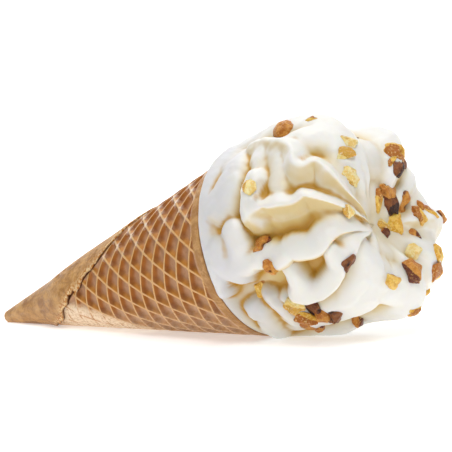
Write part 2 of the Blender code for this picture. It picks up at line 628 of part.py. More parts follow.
def nearest_on_crest(fold, angle, way):
    """Distance to a fold's crest, side of it, its height there and the two parts of its direction."""
    middle = np.mean([knot[0] for knot in fold.path])
    across = (middle + wrapped(angle - middle)) * DEGREE
    along = way * LENGTH
    nearest = np.full(angle.shape, np.inf)
    side = np.zeros_like(nearest)
    height = np.zeros_like(nearest)
    run_across = np.zeros_like(nearest)
    run_along = np.zeros_like(nearest)
    line = crest_line(fold)
    for start, end in zip(line[:-1], line[1:]):
        run = end - start
        length = math.hypot(run[0], run[1])
        part = ((across - start[0]) * run[0] + (along - start[1]) * run[1]) / length ** 2
        part = np.clip(part, 0.0, 1.0)
        off_across = across - start[0] - part * run[0]
        off_along = along - start[1] - part * run[1]
        distance = np.hypot(off_across, off_along)
        nearer = distance < nearest
        nearest = np.where(nearer, distance, nearest)
        turned = (run[0] * off_along - run[1] * off_across) / (length * (distance + TINY))
        side = np.where(nearer, turned, side)
        height = np.where(nearer, start[2] + part * run[2], height)
        run_across = np.where(nearer, run[0] / length, run_across)
        run_along = np.where(nearer, run[1] / length, run_along)
    return nearest, side, height, run_across, run_along


def fold_relief(angle, way):
    """Rise of the folds above the valleys, and their lean across and along the head, over a grid."""
    total = np.zeros_like(angle)
    lean_across = np.zeros_like(angle)
    lean_along = np.zeros_like(angle)
    for fold in FOLDS:
        distance, side, height, run_across, run_along = nearest_on_crest(fold, angle, way)
        hand = smooth(-1.0, 1.0, side)
        reach = (fold.lower + (fold.upper - fold.lower) * hand) * MM
        curve = fold.lower_curve + (fold.upper_curve - fold.lower_curve) * hand
        roundness = np.clip(2.0 - 2.5 * (curve - 1.0), 1.1, 2.0)
        share = np.clip(1.0 - (distance / reach) ** roundness, 0.0, 1.0) ** curve
        weight = (height * share / MM) ** FOLD_BLEND
        total = total + weight
        lean = weight * fold.lean * MM * share ** 3
        lean_across = lean_across + lean * run_along
        lean_along = lean_along - lean * run_across
    rise = total ** (1.0 / FOLD_BLEND) * MM
    rise = rise + (HEART_RISE - rise) * smooth(*HEART_WAYS, way)
    return rise, lean_across / (total + TINY), lean_along / (total + TINY)


def head_surface(angles, ways):
    """Points of the piped head on a grid of angles in degrees and ways."""
    high, out = even_envelope(angles, ways)
    angle, way = np.meshgrid(angles, ways, indexing="ij")
    rise, lean_across, lean_along = fold_relief(angle, way)
    slope_high = np.gradient(high, axis=1)
    slope_out = np.gradient(out, axis=1)
    length = np.hypot(slope_high, slope_out)
    offset = (rise - VALLEY * smooth(*VALLEY_WAYS, way)) * smooth(*EDGE_WAYS, way)
    calm = np.minimum(1.0, out / HEART_CALM) * smooth(*LEAN_WAYS, way)
    high = high + (offset * slope_out + lean_along * calm * slope_high) / length
    out = np.maximum(out + (lean_along * calm * slope_out - offset * slope_high) / length, 0.0)
    radians = np.radians(angle)
    sideways = outward(radians + math.pi / 2.0)
    points = along_and_out(high, out, radians) + (lean_across * calm)[..., None] * sideways
    heart = 1.0 - smooth(0.0, HEAD_RADIUS, out)
    return points + heart[..., None] * (HEART_SHIFT_UP * UPWARD + HEART_SHIFT_AWAY * AWAY)


def soften(points):
    """Move each point of a closed grid to the middle of its neighbours."""
    points = points.copy()
    points[:, 1:-1] = 0.25 * (np.roll(points, 1, axis=0)[:, 1:-1] + np.roll(points, -1, axis=0)[:, 1:-1]
                              + points[:, :-2] + points[:, 2:])
    return points


def build_head():
    """The piped head as an open shell, its folds kept by a light mesh."""
    angles = np.linspace(-180.0, 180.0, HEAD_TURNS, endpoint=False)
    ways = np.linspace(0.0, 1.0, HEAD_RINGS)
    points = rest_on_floor(soften(head_surface(angles, ways)))
    bm = bmesh.new()
    heart = bm.verts.new(points[:, 0].mean(axis=0))
    rows = [[heart] + [bm.verts.new(point) for point in row[1:]] for row in points]
    for turn in range(HEAD_TURNS):
        here = rows[turn]
        there = rows[(turn + 1) % HEAD_TURNS]
        bm.faces.new((heart, here[1], there[1]))
        for ring in range(1, HEAD_RINGS - 1):
            bm.faces.new((here[ring], here[ring + 1], there[ring + 1], there[ring]))
    bmesh.ops.triangulate(bm, faces=bm.faces)
    full = len(bm.faces)
    head = new_object("head", bm)
    lighten = head.modifiers.new("lighten", "DECIMATE")
    lighten.ratio = HEAD_TRIANGLES / full
    return head


def close_cream(head):
    """Close the head underneath, with the filling that reaches down into the wafer."""
    shape = bpy.context.evaluated_depsgraph_get()
    bm = bmesh.new()
    bm.from_object(head, shape)
    bpy.data.objects.remove(head)
    edge = [item for item in bm.edges if item.is_boundary]
    lift = -WALL - GAP
    slants = (SLANT + GAP, PLUG_MIDDLE, PLUG_END)
    rings = [add_ring(bm, slant, lift, PLUG_SIDES) for slant in slants]
    for first, second in zip(rings, rings[1:]):
        join_rings(bm, first, second)
    bm.faces.new(rings[-1])
    mouth = [item for item in bm.edges if item.is_boundary and item not in edge]
    bmesh.ops.bridge_loops(bm, edges=edge + mouth)
    for vert in bm.verts:
        vert.co = rest_on_floor(vert.co)
    bmesh.ops.triangulate(bm, faces=bm.faces)
    bmesh.ops.recalc_face_normals(bm, faces=bm.faces)
    return new_object("ice_cream", bm, cream_material())


def head_frame(angle, way):
    """Place and outward direction at one spot of the head."""
    turn = 360.0 * FRAME_STEP
    angles = np.array([angle - turn, angle, angle + turn])
    ways = np.clip(np.array([way - FRAME_STEP, way, way + FRAME_STEP]), 0.0, 1.0)
    points = head_surface(angles, ways)
    across = Vector(points[2, 1] - points[0, 1])
    inward = Vector(points[1, 0] - points[1, 2])
    normal = across.cross(inward).normalized()
    return Vector(points[1, 1]), normal


def add_nut(nut, draw, finish, collection):
    """A chopped nut: a small angular lump, pressed into the cream."""
    place, normal = head_frame(nut.angle, nut.way)
    bm = bmesh.new()
    bmesh.ops.create_icosphere(bm, subdivisions=1, radius=0.5)
    for vert in bm.verts:
        vert.co *= 1.0 + draw.uniform(-NUT_ROUGHNESS, NUT_ROUGHNESS)
    size = Vector((nut.length, nut.width, NUT_HEIGHT * nut.width)) * MM
    turn = Matrix.Rotation(math.radians(nut.turn), 4, "Z")
    upright = normal.to_track_quat("Z", "Y").to_matrix().to_4x4()
    lifted = place + normal * size.z * (0.5 - NUT_SINK)
    bm.transform(Matrix.Translation(lifted) @ upright @ turn @ Matrix.Diagonal((*size, 1.0)))
    for vert in bm.verts:
        vert.co = rest_on_floor(vert.co)
    lump = new_object("nut", bm, finish)
    bpy.context.scene.collection.objects.unlink(lump)
    collection.objects.link(lump)


def hidden_nuts(draw):
    """Nuts over the parts of the head that the shown ones leave bare, by an even spiral."""
    placed = []
    for number in range(HIDDEN_NUTS):
        angle = wrapped(number * GOLDEN_TURN + draw.uniform(-SPIRAL_DRIFT, SPIRAL_DRIFT))
        share = (number + draw.random()) / HIDDEN_NUTS
        way = HIDDEN_WAYS[0] + (HIDDEN_WAYS[1] - HIDDEN_WAYS[0]) * share
        if SHOWN_SIDE[0] < angle < SHOWN_SIDE[1]:
            continue
        length = draw.uniform(*HIDDEN_NUT_SIZE)
        kind = draw.choice(("brown", "gold", "pale", "gold", "dark"))
        turn = draw.uniform(0.0, 180.0)
        placed.append(Nut(angle, way, length, NUT_HEIGHT * length, turn, kind))
    return placed


def press_in_nuts(cream):
    """Fuse the nuts to the cream with one union."""
    draw = random.Random(SEED)
    finishes = nut_materials()
    for finish in finishes.values():
        cream.data.materials.append(finish)
    nuts = bpy.data.collections.new("nuts")
    bpy.context.scene.collection.children.link(nuts)
    for nut in list(NUTS) + hidden_nuts(draw):
        add_nut(nut, draw, finishes[nut.kind], nuts)
    union = cream.modifiers.new("nuts", "BOOLEAN")
    union.operation = "UNION"
    union.operand_type = "COLLECTION"
    union.collection = nuts
    union.solver = "MANIFOLD"
    union.material_mode = "TRANSFER"
    bpy.context.view_layer.objects.active = cream
    bpy.ops.object.modifier_apply(modifier=union.name)
    for lump in list(nuts.objects):
        bpy.data.objects.remove(lump)
    bpy.data.collections.remove(nuts)


def build_cream():
    """The cream with its nuts, one solid."""
    cream = close_cream(build_head())
    press_in_nuts(cream)
    cream.data.shade_smooth()
    cream.data.set_sharp_from_angle(angle=math.radians(50.0))
    return cream


def main():
    """Clear the scene and build both pieces."""
    for obj in list(bpy.data.objects):
        bpy.data.objects.remove(obj)
    build_wafer()
    build_cream()


main()
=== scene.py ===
"""The looks of a waffle cone that lies on its side, filled with folded vanilla ice cream and nuts.

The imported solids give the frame. The wafer, the ice cream and the chopped nuts are modelled again
here at full fineness, in the same coordinates, and stand in for the solids. Lengths are in metres.

The cone lies on one of its straight lines. A place on it is given by its slant distance from the
sharp point, by its angle round the axis (0 on the near side, 90 on top) and by its lift off the
wafer's outer surface. A place on the ice cream is given by the same angle and by its way, which is
0 at the heart of the folds and 1 at the wafer's rim.
"""

import contextlib
import logging
import math
import random
from dataclasses import dataclass
from enum import Enum
from typing import Iterator, NamedTuple, Sequence

import bmesh
import bpy
import numpy as np
from mathutils import Matrix, Vector, noise


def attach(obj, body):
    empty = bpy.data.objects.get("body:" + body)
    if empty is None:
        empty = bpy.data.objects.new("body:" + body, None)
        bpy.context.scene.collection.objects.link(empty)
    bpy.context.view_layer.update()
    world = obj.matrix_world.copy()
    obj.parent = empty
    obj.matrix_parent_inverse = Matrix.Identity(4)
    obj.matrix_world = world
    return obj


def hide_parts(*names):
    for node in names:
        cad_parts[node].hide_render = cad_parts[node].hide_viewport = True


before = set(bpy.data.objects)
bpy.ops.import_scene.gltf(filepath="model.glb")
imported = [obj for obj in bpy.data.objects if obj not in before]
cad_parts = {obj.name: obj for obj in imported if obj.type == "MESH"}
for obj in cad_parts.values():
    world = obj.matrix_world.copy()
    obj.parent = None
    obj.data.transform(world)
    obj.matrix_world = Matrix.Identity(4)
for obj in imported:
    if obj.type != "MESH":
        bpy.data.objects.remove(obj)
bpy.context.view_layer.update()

MM = 0.001
BODY = "root"
LOG = logging.getLogger("ice_cream_cone")

Colour = tuple[float, float, float]


# ---------------------------------------------------------------- shared arithmetic
def smooth(low: float, high: float, value: np.ndarray | float) -> np.ndarray:
    """Give a smooth step.

    Args:
        low: where the step leaves 0.
        high: where it reaches 1.
        value: the values to step.

    Returns:
        The step's height at each value.
    """
    share = np.clip((np.asarray(value, float) - low) / (high - low), 0.0, 1.0)
    return share * share * (3.0 - 2.0 * share)


def wrapped(degrees: np.ndarray | float) -> np.ndarray | float:
    """Give the same angle between -180 and 180 degrees."""
    return (degrees + 180.0) % 360.0 - 180.0


def rough(points: np.ndarray, grain: float, seed: float = 0.0) -> np.ndarray:
    """Give smooth noise over a set of points.

    Args:
        points: places in metres, one a row.
        grain: size of the noise's features in metres.
        seed: shift that makes one noise differ from another.

    Returns:
        One value between about -1 and 1 for each point.
    """
    shift = Vector((seed * 17.31, seed * 5.77, seed * 11.13))
    return np.array([noise.noise(Vector(point) / grain + shift) for point in points])


@dataclass(frozen=True)
class ConeFrame:
    """The cone's own coordinates, and where it lies on the floor."""

    rim_radius: float = 27.0 * MM
    slant: float = 124.0 * MM
    wall: float = 2.4 * MM
    gap: float = 0.3 * MM
    settle: float = 0.15 * MM
    touch: float = 0.03 * MM
    centre_x: float = 88.89 * MM
    centre_y: float = 1.24 * MM

    @property
    def half_angle(self) -> float:
        """Angle between the axis and the side."""
        return math.asin(self.rim_radius / self.slant)

    @property
    def sheet_angle(self) -> float:
        """Angle of the wafer when it is unrolled flat."""
        return 2.0 * math.pi * math.sin(self.half_angle)

    @property
    def axis(self) -> np.ndarray:
        """Direction from the sharp point to the middle of the mouth."""
        return np.array([math.cos(self.half_angle), 0.0, math.sin(self.half_angle)])

    @property
    def upward(self) -> np.ndarray:
        """Direction straight out of the axis on the upper side."""
        return np.array([-math.sin(self.half_angle), 0.0, math.cos(self.half_angle)])

    @property
    def away(self) -> np.ndarray:
        """Direction from the near side to the far side."""
        return np.array([0.0, 1.0, 0.0])

    @property
    def start(self) -> np.ndarray:
        """The sharp point."""
        return np.array([-self.centre_x, -self.centre_y, -self.settle])

    def outward(self, angle: np.ndarray) -> np.ndarray:
        """Give the directions straight out from the axis at angles in radians."""
        return np.multiply.outer(np.sin(angle), self.upward) - np.multiply.outer(np.cos(angle), self.away)

    def along_and_out(self, height: np.ndarray, radius: np.ndarray, angle: np.ndarray) -> np.ndarray:
        """Give the points at heights along the axis and radii from it.

        Args:
            height: distances along the axis from the sharp point.
            radius: distances from the axis.
            angle: angles round the axis in radians.

        Returns:
            The points, with one more dimension than the height.
        """
        height = np.asarray(height, float)[..., None]
        radius = np.asarray(radius, float)[..., None]
        return self.start + height * self.axis + radius * self.outward(angle)

    def on_cone(self, slant: np.ndarray, angle: np.ndarray, lift: np.ndarray | float = 0.0) -> np.ndarray:
        """Give the points at a slant distance, lifted off the wafer's outer surface.

        Args:
            slant: distances from the sharp point along the side.
            angle: angles round the axis in radians.
            lift: distances off the surface.

        Returns:
            The points, with one more dimension than the slant.
        """
        slant = np.asarray(slant, float)
        height = slant * math.cos(self.half_angle) - lift * math.sin(self.half_angle)
        radius = slant * math.sin(self.half_angle) + lift * math.cos(self.half_angle)
        return self.along_and_out(height, radius, angle)

    def angle_of(self, points: np.ndarray) -> np.ndarray:
        """Give the angle round the axis of each point, in radians."""
        offset = points - self.start
        return np.arctan2(offset @ self.upward, -(offset @ self.away))

    def rest(self, points: np.ndarray) -> np.ndarray:
        """Flatten what would lie on or below the floor.

        Args:
            points: places, one a row.

        Returns:
            The places, none of them under the floor.
        """
        points = np.array(points, float)
        points[..., 2] = np.where(points[..., 2] < self.touch, 0.0, points[..., 2])
        return points


# ---------------------------------------------------------------- modelling with Blender's operators
def deselect_all() -> None:
    """Leave nothing selected."""
    for obj in bpy.context.selected_objects:
        obj.select_set(False)


class Workpiece:
    """A mesh object that is being modelled."""

    NEAR = 0.05 * MM                 # what is this near to a border's line is on it

    def __init__(self, obj: bpy.types.Object, name: str) -> None:
        """Take over a new object.

        Args:
            obj: the object, which is the active one.
            name: its name from now on.
        """
        self.obj = obj
        self.obj.name = name
        self.obj.data.name = name

    @classmethod
    def sheet(cls, name: str, columns: int, rows: int) -> "Workpiece":
        """Add a flat grid.

        Args:
            name: the piece's name.
            columns: how many vertices it has along X.
            rows: how many vertices it has along Y.

        Returns:
            The new piece, one metre wide and centred.
        """
        deselect_all()
        bpy.ops.mesh.primitive_grid_add(x_subdivisions=columns - 1, y_subdivisions=rows - 1, size=1.0)
        return cls(bpy.context.object, name)

    @property
    def mesh(self) -> bpy.types.Mesh:
        """The piece's mesh."""
        return self.obj.data

    @property
    def points(self) -> np.ndarray:
        """The vertices' places, one a row."""
        flat = np.empty(len(self.mesh.vertices) * 3)
        self.mesh.vertices.foreach_get("co", flat)
        return flat.reshape(-1, 3)

    @points.setter
    def points(self, places: np.ndarray) -> None:
        """Move the vertices."""
        self.mesh.vertices.foreach_set("co", np.ascontiguousarray(places, dtype=np.float32).ravel())
        self.mesh.update()

    @property
    def edges(self) -> np.ndarray:
        """The two vertices of each edge."""
        flat = np.empty(len(self.mesh.edges) * 2, dtype=np.int32)
        self.mesh.edges.foreach_get("vertices", flat)
        return flat.reshape(-1, 2)

    @property
    def border(self) -> np.ndarray:
        """Whether each edge has a face on one side only."""
        used = np.empty(len(self.mesh.loops), dtype=np.int32)
        self.mesh.loops.foreach_get("edge_index", used)
        return np.bincount(used, minlength=len(self.mesh.edges)) == 1

    def keep(self, name: str, values: np.ndarray) -> None:
        """Store one number for each vertex under a name that materials can read.

        Args:
            name: the attribute's name.
            values: one number a vertex.
        """
        layer = self.mesh.attributes.get(name)
        if layer is None:
            layer = self.mesh.attributes.new(name, "FLOAT", "POINT")
        layer.data.foreach_set("value", np.ascontiguousarray(values, dtype=np.float32))

    def kept(self, name: str) -> np.ndarray:
        """Read back one number for each vertex.

        Args:
            name: the attribute's name.

        Returns:
            The numbers.
        """
        values = np.empty(len(self.mesh.vertices))
        self.mesh.attributes[name].data.foreach_get("value", values)
        return values

    def forget(self, name: str) -> None:
        """Remove a stored number."""
        self.mesh.attributes.remove(self.mesh.attributes[name])

    @contextlib.contextmanager
    def with_selected(self, verts: np.ndarray, edges: np.ndarray, by_edge: bool) -> Iterator[None]:
        """Be in edit mode with a part selected.

        Args:
            verts: whether each vertex is selected.
            edges: whether each edge is.
            by_edge: whether edges are what is picked, and not vertices.
        """
        self.mesh.polygons.foreach_set("select", np.zeros(len(self.mesh.polygons), dtype=bool))
        self.mesh.edges.foreach_set("select", edges)
        self.mesh.vertices.foreach_set("select", verts)
        bpy.context.tool_settings.mesh_select_mode = (not by_edge, by_edge, False)
        bpy.ops.object.mode_set(mode="EDIT")
        yield
        bpy.ops.object.mode_set(mode="OBJECT")

    @contextlib.contextmanager
    def with_edges(self, chosen: np.ndarray) -> Iterator[None]:
        """Be in edit mode with some edges selected.

        Args:
            chosen: whether each edge is selected.
        """
        touched = np.zeros(len(self.mesh.vertices), dtype=bool)
        touched[self.edges[chosen].ravel()] = True
        with self.with_selected(touched, chosen, True):
            yield

    @contextlib.contextmanager
    def with_verts(self, chosen: np.ndarray) -> Iterator[None]:
        """Be in edit mode with some vertices selected."""
        with self.with_selected(chosen, np.zeros(len(self.mesh.edges), dtype=bool), False):
            yield

    @contextlib.contextmanager
    def with_all(self) -> Iterator[None]:
        """Be in edit mode with everything selected."""
        bpy.context.tool_settings.mesh_select_mode = (True, False, False)
        bpy.ops.object.mode_set(mode="EDIT")
        bpy.ops.mesh.select_all(action="SELECT")
        yield
        bpy.ops.object.mode_set(mode="OBJECT")

    def drop(self, unwanted: np.ndarray) -> None:
        """Delete vertices."""
        with self.with_verts(unwanted):
            bpy.ops.mesh.delete(type="VERT")

    def cut(self, place: Sequence[float], direction: Sequence[float]) -> None:
        """Cut the piece with a plane and drop what lies beyond it.

        Args:
            place: a point on the plane.
            direction: the way to the side that goes.
        """
        with self.with_all():
            bpy.ops.mesh.bisect(plane_co=place, plane_no=direction, clear_outer=True, threshold=1e-7)

    def widen(self, axis: int, steps: Sequence[float]) -> None:
        """Grow plain strips from the side that lies furthest along an axis.

        Args:
            axis: 0 for X and 1 for Y.
            steps: the width of each strip, negative to grow the low side.
        """
        along = self.points[:, axis]
        limit = along.max() if steps[0] > 0.0 else along.min()
        on_side = np.abs(along - limit) < self.NEAR
        chosen = self.border & on_side[self.edges].all(axis=1)
        with self.with_edges(chosen):
            for step in steps:
                move = (step, 0.0, 0.0) if axis == 0 else (0.0, step, 0.0)
                bpy.ops.mesh.extrude_region_move(TRANSFORM_OT_translate={"value": move})

    def grow(self, chosen: np.ndarray) -> int:
        """Extrude edges in place.

        Args:
            chosen: whether each edge is extruded.

        Returns:
            The index of the first new vertex.
        """
        first = len(self.mesh.vertices)
        with self.with_edges(chosen):
            bpy.ops.mesh.extrude_region_move(TRANSFORM_OT_translate={"value": (0.0, 0.0, 0.0)})
        return first

    def cap(self, chosen: np.ndarray) -> None:
        """Close a loop of edges with one face."""
        with self.with_edges(chosen):
            bpy.ops.mesh.edge_face_add()

    def merge(self, distance: float, chosen: np.ndarray | None = None) -> None:
        """Merge vertices that are nearer than a distance.

        Args:
            distance: how near.
            chosen: whether each vertex takes part, or nothing for all of them.
        """
        with self.with_all() if chosen is None else self.with_verts(chosen):
            bpy.ops.mesh.remove_doubles(threshold=distance)

    def zip_up(self, first: np.ndarray, second: np.ndarray, order: np.ndarray) -> None:
        """Join two chains of vertices with triangles.

        Args:
            first: the vertices of one chain, in order.
            second: the vertices of the other one.
            order: the number, for each vertex of the piece, that the chains are ordered by.
        """
        shell = bmesh.new()
        shell.from_mesh(self.mesh)
        shell.verts.ensure_lookup_table()
        one, other = 0, 0
        while one < len(first) - 1 or other < len(second) - 1:
            ahead = one < len(first) - 1 and (
                other == len(second) - 1 or order[first[one + 1]] < order[second[other + 1]])
            third = first[one + 1] if ahead else second[other + 1]
            corners = [shell.verts[index] for index in (first[one], third, second[other])]
            if len(set(corners)) == 3:
                shell.faces.new(corners)
            one, other = (one + 1, other) if ahead else (one, other + 1)
        shell.to_mesh(self.mesh)
        shell.free()

    def finish(self, sharp: float = 40.0) -> None:
        """Turn the faces outward and shade them.

        Args:
            sharp: angle in degrees above which an edge stays crisp.
        """
        with self.with_all():
            bpy.ops.mesh.normals_make_consistent(inside=False)
        deselect_all()
        self.obj.select_set(True)
        bpy.context.view_layer.objects.active = self.obj
        bpy.ops.object.shade_smooth_by_angle(angle=math.radians(sharp))

    def dress(self, finish: bpy.types.Material) -> None:
        """Give the piece its one material."""
        self.mesh.materials.clear()
        self.mesh.materials.append(finish)

    @property
    def triangles(self) -> int:
        """How many triangles the piece has."""
        return sum(len(face.vertices) - 2 for face in self.mesh.polygons)


# ---------------------------------------------------------------- materials
class Shader:
    """One material's nodes, joined round a Principled BSDF."""

    def __init__(self, name: str, roughness: float) -> None:
        """Start a material.

        Args:
            name: its name.
            roughness: how matt it is, before any variation.
        """
        self.material = bpy.data.materials.new(name)
        self.material.use_nodes = True
        self.nodes = self.material.node_tree.nodes
        self.surface = self.nodes["Principled BSDF"]
        self.surface.inputs["Roughness"].default_value = roughness
        self.place = self.add("ShaderNodeTexCoord").outputs["Object"]

    def add(self, kind: str, **settings: object) -> bpy.types.Node:
        """Add a node.

        Args:
            kind: the node's type.
            settings: properties to set on it.

        Returns:
            The node.
        """
        node = self.nodes.new(kind)
        for name, value in settings.items():
            setattr(node, name, value)
        return node

    def put(self, socket: bpy.types.NodeSocket, value: object) -> None:
        """Join a socket to another, or set it to a constant.

        Args:
            socket: the input.
            value: an output socket, a number or a colour.
        """
        if isinstance(value, bpy.types.NodeSocket):
            self.material.node_tree.links.new(value, socket)
        elif isinstance(value, tuple) and len(value) == 3 and socket.type == "RGBA":
            socket.default_value = (*value, 1.0)
        else:
            socket.default_value = value

    def set(self, name: str, value: object) -> None:
        """Set or join one of the Principled BSDF's inputs."""
        self.put(self.surface.inputs[name], value)

    def scatter(self, share: float, depth: float, colour: Colour) -> None:
        """Let light into the surface.

        Args:
            share: how much of it goes in.
            depth: how far it gets, in metres.
            colour: how far each colour gets, as a share of that.
        """
        self.set("Subsurface Weight", share)
        self.set("Subsurface Scale", depth)
        self.set("Subsurface Radius", colour)

    def attribute(self, name: str) -> bpy.types.NodeSocket:
        """Read a number that is stored on the mesh."""
        return self.add("ShaderNodeAttribute", attribute_name=name).outputs["Fac"]

    def grain(self, size: float, detail: float = 3.0, roughness: float = 0.5,
              distortion: float = 0.0, stretch: Sequence[float] = (1.0, 1.0, 1.0)) -> bpy.types.NodeSocket:
        """Add noise over the piece's own coordinates.

        Args:
            size: size of its largest features in metres.
            detail: how many finer layers it has.
            roughness: how strong those are.
            distortion: how much it is swirled.
            stretch: how much finer it is along each axis.

        Returns:
            The noise, about 0.5 in the middle.
        """
        mapping = self.add("ShaderNodeMapping")
        self.put(mapping.inputs["Vector"], self.place)
        self.put(mapping.inputs["Scale"], tuple(stretch))
        node = self.add("ShaderNodeTexNoise")
        self.put(node.inputs["Vector"], mapping.outputs["Vector"])
        self.put(node.inputs["Scale"], 1.0 / size)
        self.put(node.inputs["Detail"], detail)
        self.put(node.inputs["Roughness"], roughness)
        self.put(node.inputs["Distortion"], distortion)
        return node.outputs["Fac"]

    def cells(self, size: float) -> bpy.types.NodeSocket:
        """Add uneven cells over the piece's own coordinates.

        Args:
            size: size of one cell in metres.

        Returns:
            The distance to the nearest cell's middle, in cells.
        """
        node = self.add("ShaderNodeTexVoronoi")
        self.put(node.inputs["Vector"], self.place)
        self.put(node.inputs["Scale"], 1.0 / size)
        return node.outputs["Distance"]

    def maths(self, operation: str, first: object, second: object = 0.0) -> bpy.types.NodeSocket:
        """Combine two numbers.

        Args:
            operation: the Math node's operation.
            first: a socket or a number.
            second: a socket or a number.

        Returns:
            The result, kept between 0 and 1.
        """
        node = self.add("ShaderNodeMath", operation=operation, use_clamp=True)
        self.put(node.inputs[0], first)
        self.put(node.inputs[1], second)
        return node.outputs["Value"]

    def span(self, value: object, low: float, high: float,
             bottom: float = 0.0, top: float = 1.0) -> bpy.types.NodeSocket:
        """Stretch a range of values onto another one, smoothly.

        Args:
            value: the socket that is read.
            low: the value that gives the bottom.
            high: the value that gives the top.
            bottom: the lowest result.
            top: the highest result.

        Returns:
            The stretched value.
        """
        node = self.add("ShaderNodeMapRange", interpolation_type="SMOOTHSTEP")
        for name, number in (("Value", value), ("From Min", low), ("From Max", high),
                             ("To Min", bottom), ("To Max", top)):
            self.put(node.inputs[name], number)
        return node.outputs["Result"]

    def blend(self, share: object, first: object, second: object) -> bpy.types.NodeSocket:
        """Mix two colours.

        Args:
            share: how much of the second there is.
            first: a colour or its socket.
            second: a colour or its socket.

        Returns:
            The mixed colour.
        """
        node = self.add("ShaderNodeMix", data_type="RGBA", blend_type="MIX")
        self.put(node.inputs[0], share)
        self.put(node.inputs[6], first)
        self.put(node.inputs[7], second)
        return node.outputs[2]

    def bump(self, height: object, distance: float, strength: float = 1.0,
             under: object = None) -> bpy.types.NodeSocket:
        """Add fine relief.

        Args:
            height: the socket that raises it.
            distance: how high 1 stands, in metres.
            strength: how much of it shows.
            under: coarser relief that it lies on.

        Returns:
            The changed normal.
        """
        node = self.add("ShaderNodeBump")
        self.put(node.inputs["Height"], height)
        self.put(node.inputs["Distance"], distance)
        self.put(node.inputs["Strength"], strength)
        if under is not None:
            self.put(node.inputs["Normal"], under)
        return node.outputs["Normal"]


@dataclass(frozen=True)
class WaferFinish:
    """Baked wafer: light ribs, pit walls, pinkish floors and a mottled plain flap, with light and shade
    painted on the walls, the pits' corners, the rib crossings, the underside, the seam and the rim.
    """

    crest: Colour = (0.66, 0.39, 0.155)
    # painted highlight on the rib crossings that face up
    glint: Colour = (0.93, 0.84, 0.74)
    # painted light and shade: the pits' walls golden on one side of each rib and dark on the other, lit and
    # shaded copies of one wall colour
    lit_wall: Colour = (0.48, 0.195, 0.034)
    shaded_wall: Colour = (0.31, 0.095, 0.008)
    # painted shade in the pits' corners by the rib crossings
    corner: Colour = (0.17, 0.042, 0.006)
    floor: Colour = (0.47, 0.26, 0.145)
    band: Colour = (0.38, 0.185, 0.060)
    # partly the rim's own dark edge, partly painted shade where the cream meets the rim
    mouth: Colour = (0.24, 0.12, 0.09)
    plain: Colour = (0.54, 0.287, 0.086)
    toasted: Colour = (0.30, 0.13, 0.035)
    # of the smooth part toward the tip, and painted light from below on the underside
    pale: Colour = (0.86, 0.70, 0.52)
    crumb: Colour = (0.74, 0.54, 0.28)
    amber: Colour = (0.46, 0.17, 0.025)
    # painted shade in the seam's crevice
    gap: Colour = (0.11, 0.035, 0.010)
    roughness: float = 0.5
    blotch_size: float = 7.0 * MM
    speckle_size: float = 0.9 * MM
    streak_size: float = 3.0 * MM
    pore_size: float = 0.55 * MM

    def make(self) -> bpy.types.Material:
        """Build the material.

        Returns:
            The finished material, which reads the numbers that the wafer stores.
        """
        shader = Shader("wafer", self.roughness)
        blotches = shader.grain(self.blotch_size, 4.0, 0.6)
        speckle = shader.grain(self.speckle_size, 3.0, 0.65)
        streaks = shader.grain(self.streak_size, 4.0, 0.65, 0.6, (0.45, 1.6, 1.0))
        crest = shader.attribute("crest")

        # painted shade on the walls on one side of each rib, painted light on the walls on the other
        colour = shader.blend(shader.attribute("shaded_wall"), self.floor, self.shaded_wall)
        colour = shader.blend(shader.attribute("lit_wall"), colour, self.lit_wall)
        # painted shade in the pits' corners
        colour = shader.blend(shader.attribute("corner"), colour, self.corner)
        colour = shader.blend(crest, colour, self.crest)
        # painted highlight on the rib crossings
        glint = shader.maths("MULTIPLY", shader.attribute("glint"), shader.span(speckle, 0.38, 0.55))
        colour = shader.blend(glint, colour, self.glint)
        band = shader.blend(shader.span(streaks, 0.40, 0.66, 0.0, 0.55), self.band, self.crest)
        colour = shader.blend(shader.attribute("band"), colour, band)
        plain = shader.blend(shader.span(streaks, 0.34, 0.66), self.plain, self.toasted)
        plain = shader.blend(shader.span(blotches, 0.45, 0.70, 0.0, 0.5), plain, self.crest)
        colour = shader.blend(shader.attribute("flap"), colour, plain)
        # pale where the relief fades, and painted light from below on the underside
        pale = shader.blend(shader.span(speckle, 0.40, 0.66, 0.0, 0.5), self.pale, self.crest)
        colour = shader.blend(shader.attribute("fade"), colour, pale)
        dashes = shader.maths("MULTIPLY", shader.attribute("dashes"), shader.span(streaks, 0.42, 0.56))
        colour = shader.blend(dashes, colour, self.lit_wall)
        spots = shader.span(speckle, 0.52, 0.74, 0.0, 0.35)
        colour = shader.blend(spots, colour, self.toasted)
        light = shader.span(blotches, 0.36, 0.66, 0.0, 0.05)
        colour = shader.blend(light, colour, self.crest)
        lip = shader.blend(shader.span(speckle, 0.42, 0.58), self.crumb, self.amber)
        colour = shader.blend(shader.attribute("lip"), colour, lip)
        # the rim's dark edge, partly painted shade under the cream
        colour = shader.blend(shader.attribute("mouth"), colour, self.mouth)
        # painted shade in the seam's crevice
        colour = shader.blend(shader.attribute("gap"), colour, self.gap)
        shader.set("Base Color", colour)

        pores = shader.span(shader.cells(self.pore_size), 0.08, 0.40)
        normal = shader.bump(shader.grain(1.6 * MM, 4.0, 0.6), 0.40 * MM, 0.65)
        normal = shader.bump(pores, 0.07 * MM, 0.35, normal)
        shader.set("Normal", normal)
        shader.set("Roughness", shader.span(speckle, 0.3, 0.7, 0.36, 0.66))
        shader.set("Specular IOR Level", 0.17)
        glaze = shader.span(speckle, 0.48, 0.60, 0.0, 0.7)
        shader.set("Coat Weight", shader.maths("MULTIPLY", crest, glaze))
        shader.set("Coat Roughness", 0.22)
        shader.scatter(0.06, 0.8 * MM, (1.0, 0.45, 0.15))
        return shader.material


